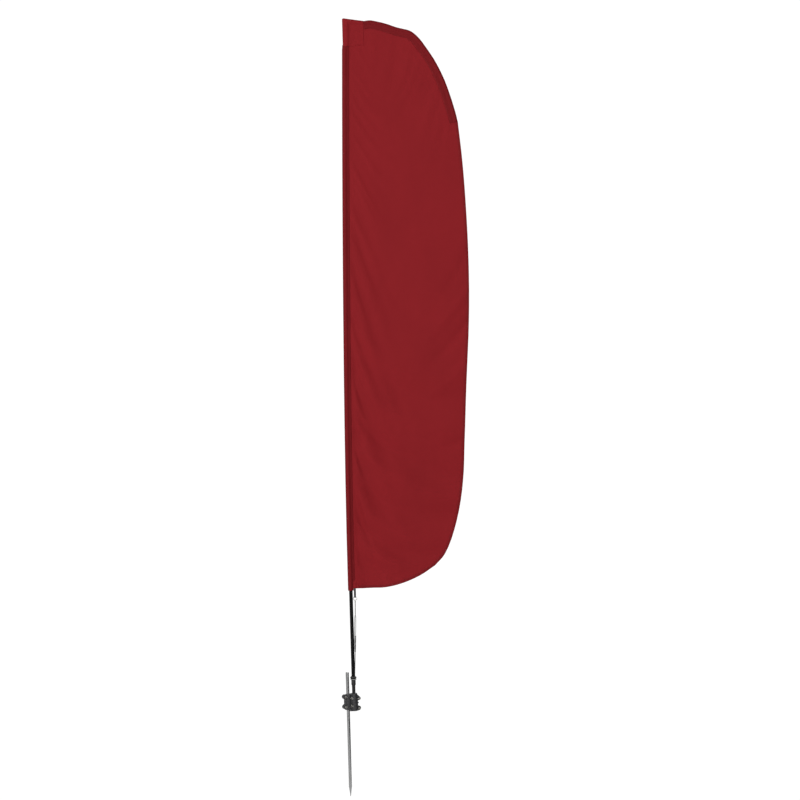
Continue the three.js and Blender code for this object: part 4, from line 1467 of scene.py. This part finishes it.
class FeatherFlagTension(bpy.types.Operator):
    """Webbing tab sewn to the foot corner and the steel ring in its loop"""

    bl_idname = "feather_flag.tension"
    bl_label = "Tab and ring"

    def execute(self, context):
        MADE["trim"] += [self.tab(), self.patch()]
        self.ring()
        panel, cloth = MADE["panel"], MADE["cloth"]
        (x0, z0), (x1, z1) = cloth.outline.min(0), cloth.outline.max(0)
        float(x1 - x0)
        float(z1 - z0)
        return {"FINISHED"}

    def tab(self):
        """A strap up the front, under the ring's wire and up the back, with rounded selvedges."""
        box_low, box_high = low("tension_tab"), high("tension_tab")
        ring_wire = (high("tension_ring").y - low("tension_ring").y) / 2
        thick, step = 0.0012, 0.0008
        bottom = box_low.z + thick + ring_wire
        reach = ring_wire + 0.0003 + thick / 2
        side = 0.0009 + thick / 2
        path = [(-side, box_high.z), (-side, FOOT + 0.004), (-reach, bottom + 0.004)]
        under = np.linspace(0, math.pi, 13)
        path += [(-reach * math.cos(a), bottom - reach * math.sin(a)) for a in under]
        path += [(reach, bottom + 0.004), (side, FOOT + 0.004), (side, box_high.z)]
        path = spaced(path, step)
        normal = -leftward(heading(path))
        half = (box_high.x - box_low.x) / 2
        x = np.concatenate([np.linspace(-half, half, 9), np.linspace(half, -half, 9)])
        lift = np.concatenate([np.full(9, thick / 2), np.full(9, -thick / 2)])
        lift[[0, 8, 9, 17]] *= 0.35
        points, centre = [], (box_high.x + box_low.x) / 2
        for (y, z), (ny, nz) in zip(path, normal):
            for dx, up in zip(x, lift):
                points.append((centre + dx, PLANE + y + ny * up, z + nz * up))
        count = len(x)
        faces = strip_faces(len(path), count, close_across=True)
        maps = [(x[i % count], (i // count) * step) for f in faces for i in f]
        faces += [tuple(range(count))[::-1], tuple(range(len(points) - count, len(points)))]
        maps += [(0, 0)] * (2 * count)
        made = piece("tension_tab_webbing", points, faces, "tab_webbing", MAST,
                     maps=("cloth", maps))
        right_way(made)
        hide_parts("tension_tab")
        return made

    def patch(self):
        """A small doubled patch that covers the tab's sewn ends on both faces."""
        cloth, wall = MADE["cloth"], sizes().cloth * PATCH_PLY
        bulge, clear = 0.0021, 0.0029  # over the tab: above the cloth, and from the panel's plane
        box_low, box_high = low("tension_tab"), high("tension_tab")
        across = np.linspace(box_low.x - 0.006, box_high.x + 0.014, 21)
        upward = np.linspace(FOOT + 0.0006, box_high.z + 0.008, 25)
        places = np.array([(x, z) for z in upward for x in across])
        wide, count = len(across), len(places)
        x, z = places.T
        beside = np.maximum(np.maximum(box_low.x - x, x - box_high.x), 0) / 0.003
        above = np.maximum(z - box_high.z, 0) / 0.004
        rise = np.exp(-(beside**2 + above**2))
        points, faces = [], []
        for side in (-1, 1):
            start = len(points)
            face = cloth.lay(places, -side * (wall * 2.4 + bulge * rise))
            face[:, 1] = PLANE + side * np.maximum(side * (face[:, 1] - PLANE), clear * rise)
            for layer in (face, cloth.lay(places, -side * wall * 0.2)):
                points += [tuple(p) for p in layer]
            top = [tuple(start + i for i in f) for f in strip_faces(len(upward), wide)]
            faces += top + [tuple(i + count for i in f)[::-1] for f in top]
            rim = list(range(wide))
            rim += [i * wide + wide - 1 for i in range(1, len(upward))]
            rim += [(len(upward) - 1) * wide + j for j in range(wide - 2, -1, -1)]
            rim += [i * wide for i in range(len(upward) - 2, 0, -1)]
            for a, b in zip(rim, rim[1:] + rim[:1]):
                faces.append((start + a, start + count + a, start + count + b, start + b))
        maps = [(points[i][0], points[i][2]) for f in faces for i in f]
        made = piece("foot_corner_patch", points, faces, "flag_cloth", MAST, maps=("cloth", maps))
        right_way(made)
        return made

    def ring(self):
        """A round steel wire ring, upright in the flag's plane."""
        centre = middle("tension_ring")
        wire = (high("tension_ring").y - low("tension_ring").y) / 2
        radius = (high("tension_ring").x - low("tension_ring").x) / 2 - wire
        round_it, thick = 72, 16
        points = [
            centre + Vector(((radius + wire * u) * x, wire * v, (radius + wire * u) * z))
            for x, z in circle(round_it) for u, v in circle(thick)
        ]
        faces = strip_faces(round_it, thick, close_across=True, close_along=True)
        made = piece("tension_ring_shape", points, faces, "ring_steel", MAST)
        right_way(made)
        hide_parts("tension_ring")


# ------------------------------------------------------------------ pole
def pole_tube(node, look, wall):
    """A round tube along the pole's axis, where the CAD has it, with eased ends."""
    bottom, top = low(node).z, high(node).z
    radius = (high(node).y - low(node).y) / 2
    lean = float(axis_x(top) - axis_x(top - 0.05)) / 0.05
    top -= radius * lean
    z = np.unique(np.concatenate([
        [bottom, bottom + 0.0004, top - 0.0004, top], np.arange(bottom + 0.02, top - 0.01, 0.04)
    ]))
    line = np.stack([axis_x(z), np.full(len(z), PLANE), z], axis=1)
    ease = np.zeros(len(z))
    ease[[0, -1]] = 0.0004
    sides = sizes().sides
    outside, _, _ = tube(line, radius - ease, sides)
    inside, _, _ = tube(line, radius - wall, sides)
    rows = len(z)
    points = np.vstack([outside, inside])
    faces = strip_faces(rows, sides, close_across=True)
    faces += [tuple(i + rows * sides for i in f)[::-1] for f in faces]
    for j in range(sides):
        k, last = (j + 1) % sides, (rows - 1) * sides
        faces.append((j, rows * sides + j, rows * sides + k, k))
        faces.append((last + j, last + k, rows * sides + last + k, rows * sides + last + j))
    made = piece(node + "_shape", points, faces, look, MAST)
    right_way(made)
    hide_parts(node)


class FeatherFlagPole(bpy.types.Operator):
    """Four plug-in pole sections, their ferrules and the flanged collar at the foot"""

    bl_idname = "feather_flag.pole"
    bl_label = "Pole"

    def execute(self, context):
        for n in range(1, 5):
            pole_tube(f"pole_section_{n}", "pole_black", 0.0015)
        for n in range(1, 4):
            pole_tube(f"pole_ferrule_{n}", "fitting_black", 0.0012)
        self.collar()
        return {"FINISHED"}

    def collar(self):
        """Turned: a ribbed socket, a necked waist for the cord and a flange above it."""
        node = "pole_collar"
        base, top = low(node).z, high(node).z
        rim = (high(node).y - low(node).y) / 2
        inner = POLE_R + 0.0003
        neck = inner + 0.0017
        lip = (high("swivel_sleeve").y - low("swivel_sleeve").y) / 2 - 0.00135
        skirt, face = top - 0.014, top - 0.0095
        profile = [
            (lip, base), (neck - 0.0008, base), (neck, base + 0.0008), (neck, base + 0.004),
            (neck + 0.0005, base + 0.0045), (neck + 0.0005, base + 0.007), (neck, base + 0.0075),
            (neck, skirt - 0.0015), (neck + 0.0006, skirt), (rim - 0.0012, face - 0.0006),
            (rim - 0.0003, face + 0.0002), (rim, face + 0.001), (rim, face + 0.004),
            (rim - 0.0004, face + 0.0048), (rim - 0.0014, face + 0.0054),
            (inner + 0.0022, top - 0.0012), (inner + 0.001, top - 0.0002), (inner + 0.0004, top),
            (inner, top - 0.0006), (inner, base + 0.0025), (lip, base + 0.0025),
        ]
        made = spun(node + "_shape", profile, "fitting_black", MAST, sides=64)
        right_way(made)
        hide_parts(node)


class FeatherFlagHead(bpy.types.Operator):
    """The elbow at the pole's top, the bent batten and its end cap"""

    bl_idname = "feather_flag.head"
    bl_label = "Elbow and batten"

    def execute(self, context):
        softened("top_elbow", 0.0007, "fitting_black", MAST)
        for node, look in (("top_batten", "batten_glassfibre"), ("batten_end_cap", "cap_rubber")):
            refinish(node, look)
        return {"FINISHED"}


def refinish(node, look):
    """Gives a CAD piece that stays in view its finish."""
    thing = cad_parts[node]
    for holder in thing.material_slots:
        holder.material = finish(look)


# ------------------------------------------------------------------ clamp
class FeatherFlagClamp(bpy.types.Operator):
    """The clamp's two moulded shells"""

    bl_idname = "feather_flag.clamp"
    bl_label = "Clamp shells"

    def execute(self, context):
        for node in ("clamp_front_shell", "clamp_rear_shell"):
            softened(node, sizes().bevel, "clamp_black", CLAMP)
        return {"FINISHED"}


# M6 fasteners: across the corners, heights and radii, in metres.
HEX_R, HEAD_HEIGHT, NUT_HEIGHT, BOLT_R = 0.00577, 0.004, 0.005, 0.003
WASHER_OUT, WASHER_IN, WASHER_HEIGHT, WASHER_EASE = 0.006, 0.0033, 0.0012, 0.0002
THREAD_PITCH = 0.001


def add_ring(shape, radius, z, sides):
    """Adds a level ring of vertices; its radius is one number or one for each vertex."""
    return [
        shape.verts.new((r * x, r * y, z))
        for (x, y), r in zip(circle(sides), np.broadcast_to(radius, sides))
    ]


def join_rings(shape, *rings):
    """Quads between each ring and the next."""
    for first, second in zip(rings[:-1], rings[1:]):
        for i in range(len(first)):
            j = (i + 1) % len(first)
            shape.faces.new((first[i], first[j], second[j], second[i]))


def hexagon_head(radius, height, bore=0.0):
    """A chamfered hexagon from z = 0 up, with a turned face."""
    sides, sixth = 24, math.pi / 3
    angle = np.linspace(0, 2 * math.pi, sides, endpoint=False)
    flat = math.cos(sixth / 2) / np.cos(angle % sixth - sixth / 2)
    shape = bmesh.new()
    rings = [
        add_ring(shape, radius * np.minimum(flat, turned), z, sides)
        for turned, z in ((0.93, 0), (1, 0.07 * height), (1, 0.87 * height), (0.87, height))
    ]
    if bore:
        inner = [add_ring(shape, bore, z, sides) for z in (height, 0)]
        join_rings(shape, *rings, *inner, rings[0])
    else:
        join_rings(shape, *rings)
        shape.faces.new(rings[-1])
        shape.faces.new(rings[0][::-1])
    return shape


class FeatherFlagFasteners(bpy.types.Operator):
    """Six bolts, washers and nuts, each kind set on the bolts' places"""

    bl_idname = "feather_flag.fasteners"
    bl_label = "Clamp fasteners"

    def execute(self, context):
        across = middle("clamp_bolt_3") - middle("clamp_nut_3")
        front = np.array(Vector((across.x, across.y, 0)).normalized())
        self.kind("clamp_bolts", "clamp_bolt", front, self.bolt(front))
        self.kind("bolt_washers", "bolt_washer", front, self.washer())
        self.kind("clamp_nuts", "clamp_nut", front, self.nut())
        return {"FINISHED"}

    def kind(self, name, node, front, shape):
        """Sets one fastener at each CAD place, its base where that node's own base is."""
        places = []
        for n in range(1, 7):
            points = corners_of(f"{node}_{n}")
            run, centre = points @ front, (points.max(0) + points.min(0)) / 2
            base = {
                "clamp_bolt": run.max() - HEAD_HEIGHT,
                "bolt_washer": run.min(),
                "clamp_nut": run.max(),
            }[node]
            places.append(centre + front * (base - centre @ front))
        out = -front if node == "clamp_nut" else front
        count = len(places)
        made = set_in_row(
            name, places, [(0, 0, 1)] * count, [out] * count, shape, "zinc_plate", CLAMP
        )
        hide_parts(*[f"{node}_{n}" for n in range(1, 7)])

    def bolt(self, front):
        """A hexagon head with its shank below, plain and then threaded to a chamfered end."""
        run = corners_of("clamp_bolt_1") @ front
        end = HEAD_HEIGHT - float(run.max() - run.min())
        z = end * 0.45
        levels = [(0.0, 0.98), (z, 0.98)]
        while z > end + 0.0012:
            levels += [(z, 0.88), (z - THREAD_PITCH / 2, 1.0)]
            z -= THREAD_PITCH
        levels += [(end + 0.0006, 0.9), (end, 0.7)]
        shape = hexagon_head(HEX_R, HEAD_HEIGHT)
        rings = [add_ring(shape, BOLT_R * share, level, 12) for level, share in levels]
        join_rings(shape, *rings)
        shape.faces.new(rings[-1][::-1])
        shape.faces.new(rings[0])
        return self.kept("bolt", shape)

    def nut(self):
        return self.kept("nut", hexagon_head(HEX_R, NUT_HEIGHT, BOLT_R + 0.0002))

    def washer(self):
        shape = bmesh.new()
        ease, top = WASHER_EASE, WASHER_HEIGHT
        profile = [
            (WASHER_IN, ease), (WASHER_IN + ease, 0), (WASHER_OUT - ease, 0), (WASHER_OUT, ease),
            (WASHER_OUT, top - ease), (WASHER_OUT - ease, top), (WASHER_IN + ease, top),
            (WASHER_IN, top - ease),
        ]
        rings = [add_ring(shape, r, z, 32) for r, z in profile]
        join_rings(shape, *rings, rings[0])
        return self.kept("washer", shape)

    def kept(self, name, shape):
        """The shape as an object for rows, its faces looking out; it isn't linked to the scene."""
        bmesh.ops.recalc_face_normals(shape, faces=shape.faces)
        mesh = bpy.data.meshes.new(name)
        shape.to_mesh(mesh)
        shape.free()
        return bpy.data.objects.new(name, mesh)


# ------------------------------------------------------------------ spindle and rod
class FeatherFlagSpindle(bpy.types.Operator):
    """The spindle, its thrust washer and clip, and the swivel that turns on it"""

    bl_idname = "feather_flag.spindle"
    bl_label = "Spindle and swivel"

    def execute(self, context):
        self.pin()
        self.washer()
        self.sleeve()
        for node in ("lower_bush", "upper_bush"):
            softened(node, 0.0002, "bush_nylon", SWIVEL, segments=1)
        softened("retaining_ring", 0.0002, "spindle_black", CLAMP, segments=1)
        return {"FINISHED"}

    def pin(self):
        """The stepped pin from the CAD piece's own radii, with its thick part's rims eased."""
        points = corners_of("spindle_pin")
        radius = np.hypot(points[:, 0] - SPINDLE.x, points[:, 1] - SPINDLE.y)
        levels = sorted({round(float(z), 5) for z in points[:, 2]})
        edge, body = 0.0008, float(radius.max())
        profile = [(0, levels[0])]
        for level in levels:
            here = {round(float(r), 4) for r in radius[np.abs(points[:, 2] - level) < 2e-5]}
            before = profile[-1][0]
            near_first = sorted(sorted(here), key=lambda r: abs(r - before))
            profile += [(r, level) for r in near_first if r > 0.0005]
        profile.append((0, levels[-1]))
        eased = []
        for r, z in profile:
            if abs(r - body) >= 1e-4:
                eased.append((r, z))
            elif eased[-1][0] < r - 2e-4:
                eased += [(r - edge, z), (r, z + edge)]
            else:
                eased += [(r, z - edge), (r - edge, z)]
        made = spun("spindle_pin_shape", eased, "spindle_black", CLAMP, sides=56)
        right_way(made)
        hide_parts("spindle_pin")

    def washer(self):
        node, ease = "thrust_washer", 0.0003
        z0, z1 = low(node).z, high(node).z
        outer, inner = (high(node).y - low(node).y) / 2, 0.0045
        made = spun(node + "_shape", [
            (inner, z0), (outer - ease, z0), (outer, z0 + ease), (outer, z1 - ease),
            (outer - ease, z1), (inner, z1),
        ], "fitting_black", CLAMP, sides=56)
        right_way(made)
        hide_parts(node)

    def sleeve(self):
        node, ease = "swivel_sleeve", 0.0006
        z0, z1 = low(node).z, high(node).z
        flange, seat = (high(node).y - low(node).y) / 2, z0 + 0.012
        outer = flange - 0.00165
        inner = outer - 0.0015
        made = spun(node + "_shape", [
            (inner, z0), (flange - ease, z0), (flange, z0 + ease), (flange, seat - ease),
            (flange - ease, seat), (outer, seat), (outer, z1 - ease), (outer - ease, z1),
            (inner, z1),
        ], "spindle_black", SWIVEL, sides=56)
        right_way(made)
        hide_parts(node)


class FeatherFlagRod(bpy.types.Operator):
    """The pointed steel ground rod"""

    bl_idname = "feather_flag.rod"
    bl_label = "Ground rod"

    def execute(self, context):
        node = "ground_rod"
        z0, z1 = low(node).z, high(node).z
        radius = (high(node).y - low(node).y) / 2
        shoulder = z0 + 0.045
        profile = [
            (0, z0), (0.0008, z0 + 0.0003), (0.0014, z0 + 0.0014),
            *[(0.0014 + (radius - 0.0026) * s**0.97, z0 + 0.0014 + 0.0426 * s)
              for s in np.linspace(0.08, 1, 14)],
            (radius - 0.0003, shoulder + 0.0012), (radius, shoulder + 0.0025),
            *[(radius, z) for z in np.arange(shoulder + 0.03, z1 - 0.02, 0.03)],
            (radius, z1 - 0.0024), (radius - 0.0004, z1 - 0.0014), (radius - 0.0012, z1 - 0.0005),
            (radius - 0.0022, z1 - 0.0001), (radius - 0.004, z1), (0, z1),
        ]
        made = spun(node + "_shape", profile, "bare_steel", ROD, centre=Vector((0, 0, 0)), sides=64)
        right_way(made)
        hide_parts(node)
        return {"FINISHED"}


# ------------------------------------------------------------------ add-on
OPERATORS = (
    FeatherFlagStage, FeatherFlagCord, FeatherFlagPanel, FeatherFlagHems, FeatherFlagSleeves,
    FeatherFlagTension, FeatherFlagPole, FeatherFlagHead, FeatherFlagClamp, FeatherFlagFasteners,
    FeatherFlagSpindle, FeatherFlagRod,
)


class FeatherFlagSidebar(bpy.types.Panel):
    """Sizes, colours and the steps that build the flag, in order"""

    bl_idname = "VIEW3D_PT_feather_flag"
    bl_label = "Feather Flag"
    bl_space_type = "VIEW_3D"
    bl_region_type = "UI"
    bl_category = "Feather Flag"

    def draw(self, context):
        column = self.layout.column()
        for settings in (context.scene.feather_flag_sizes, context.scene.feather_flag_colours):
            for name in settings.bl_rna.properties.keys():
                if name not in ("rna_type", "name"):
                    column.prop(settings, name)
        for step in OPERATORS:
            column.operator(step.bl_idname)


CLASSES = (FeatherFlagSizes, FeatherFlagColours, *OPERATORS, FeatherFlagSidebar)


def register():
    for cls in CLASSES:
        bpy.utils.register_class(cls)
    bpy.types.Scene.feather_flag_sizes = PointerProperty(type=FeatherFlagSizes)
    bpy.types.Scene.feather_flag_colours = PointerProperty(type=FeatherFlagColours)


def unregister():
    del bpy.types.Scene.feather_flag_colours
    del bpy.types.Scene.feather_flag_sizes
    for cls in reversed(CLASSES):
        bpy.utils.unregister_class(cls)


def main():
    register()
    for step in OPERATORS:
        group, name = step.bl_idname.split(".")
        getattr(getattr(bpy.ops, group), name)()


if __name__ == "__main__":
    main()
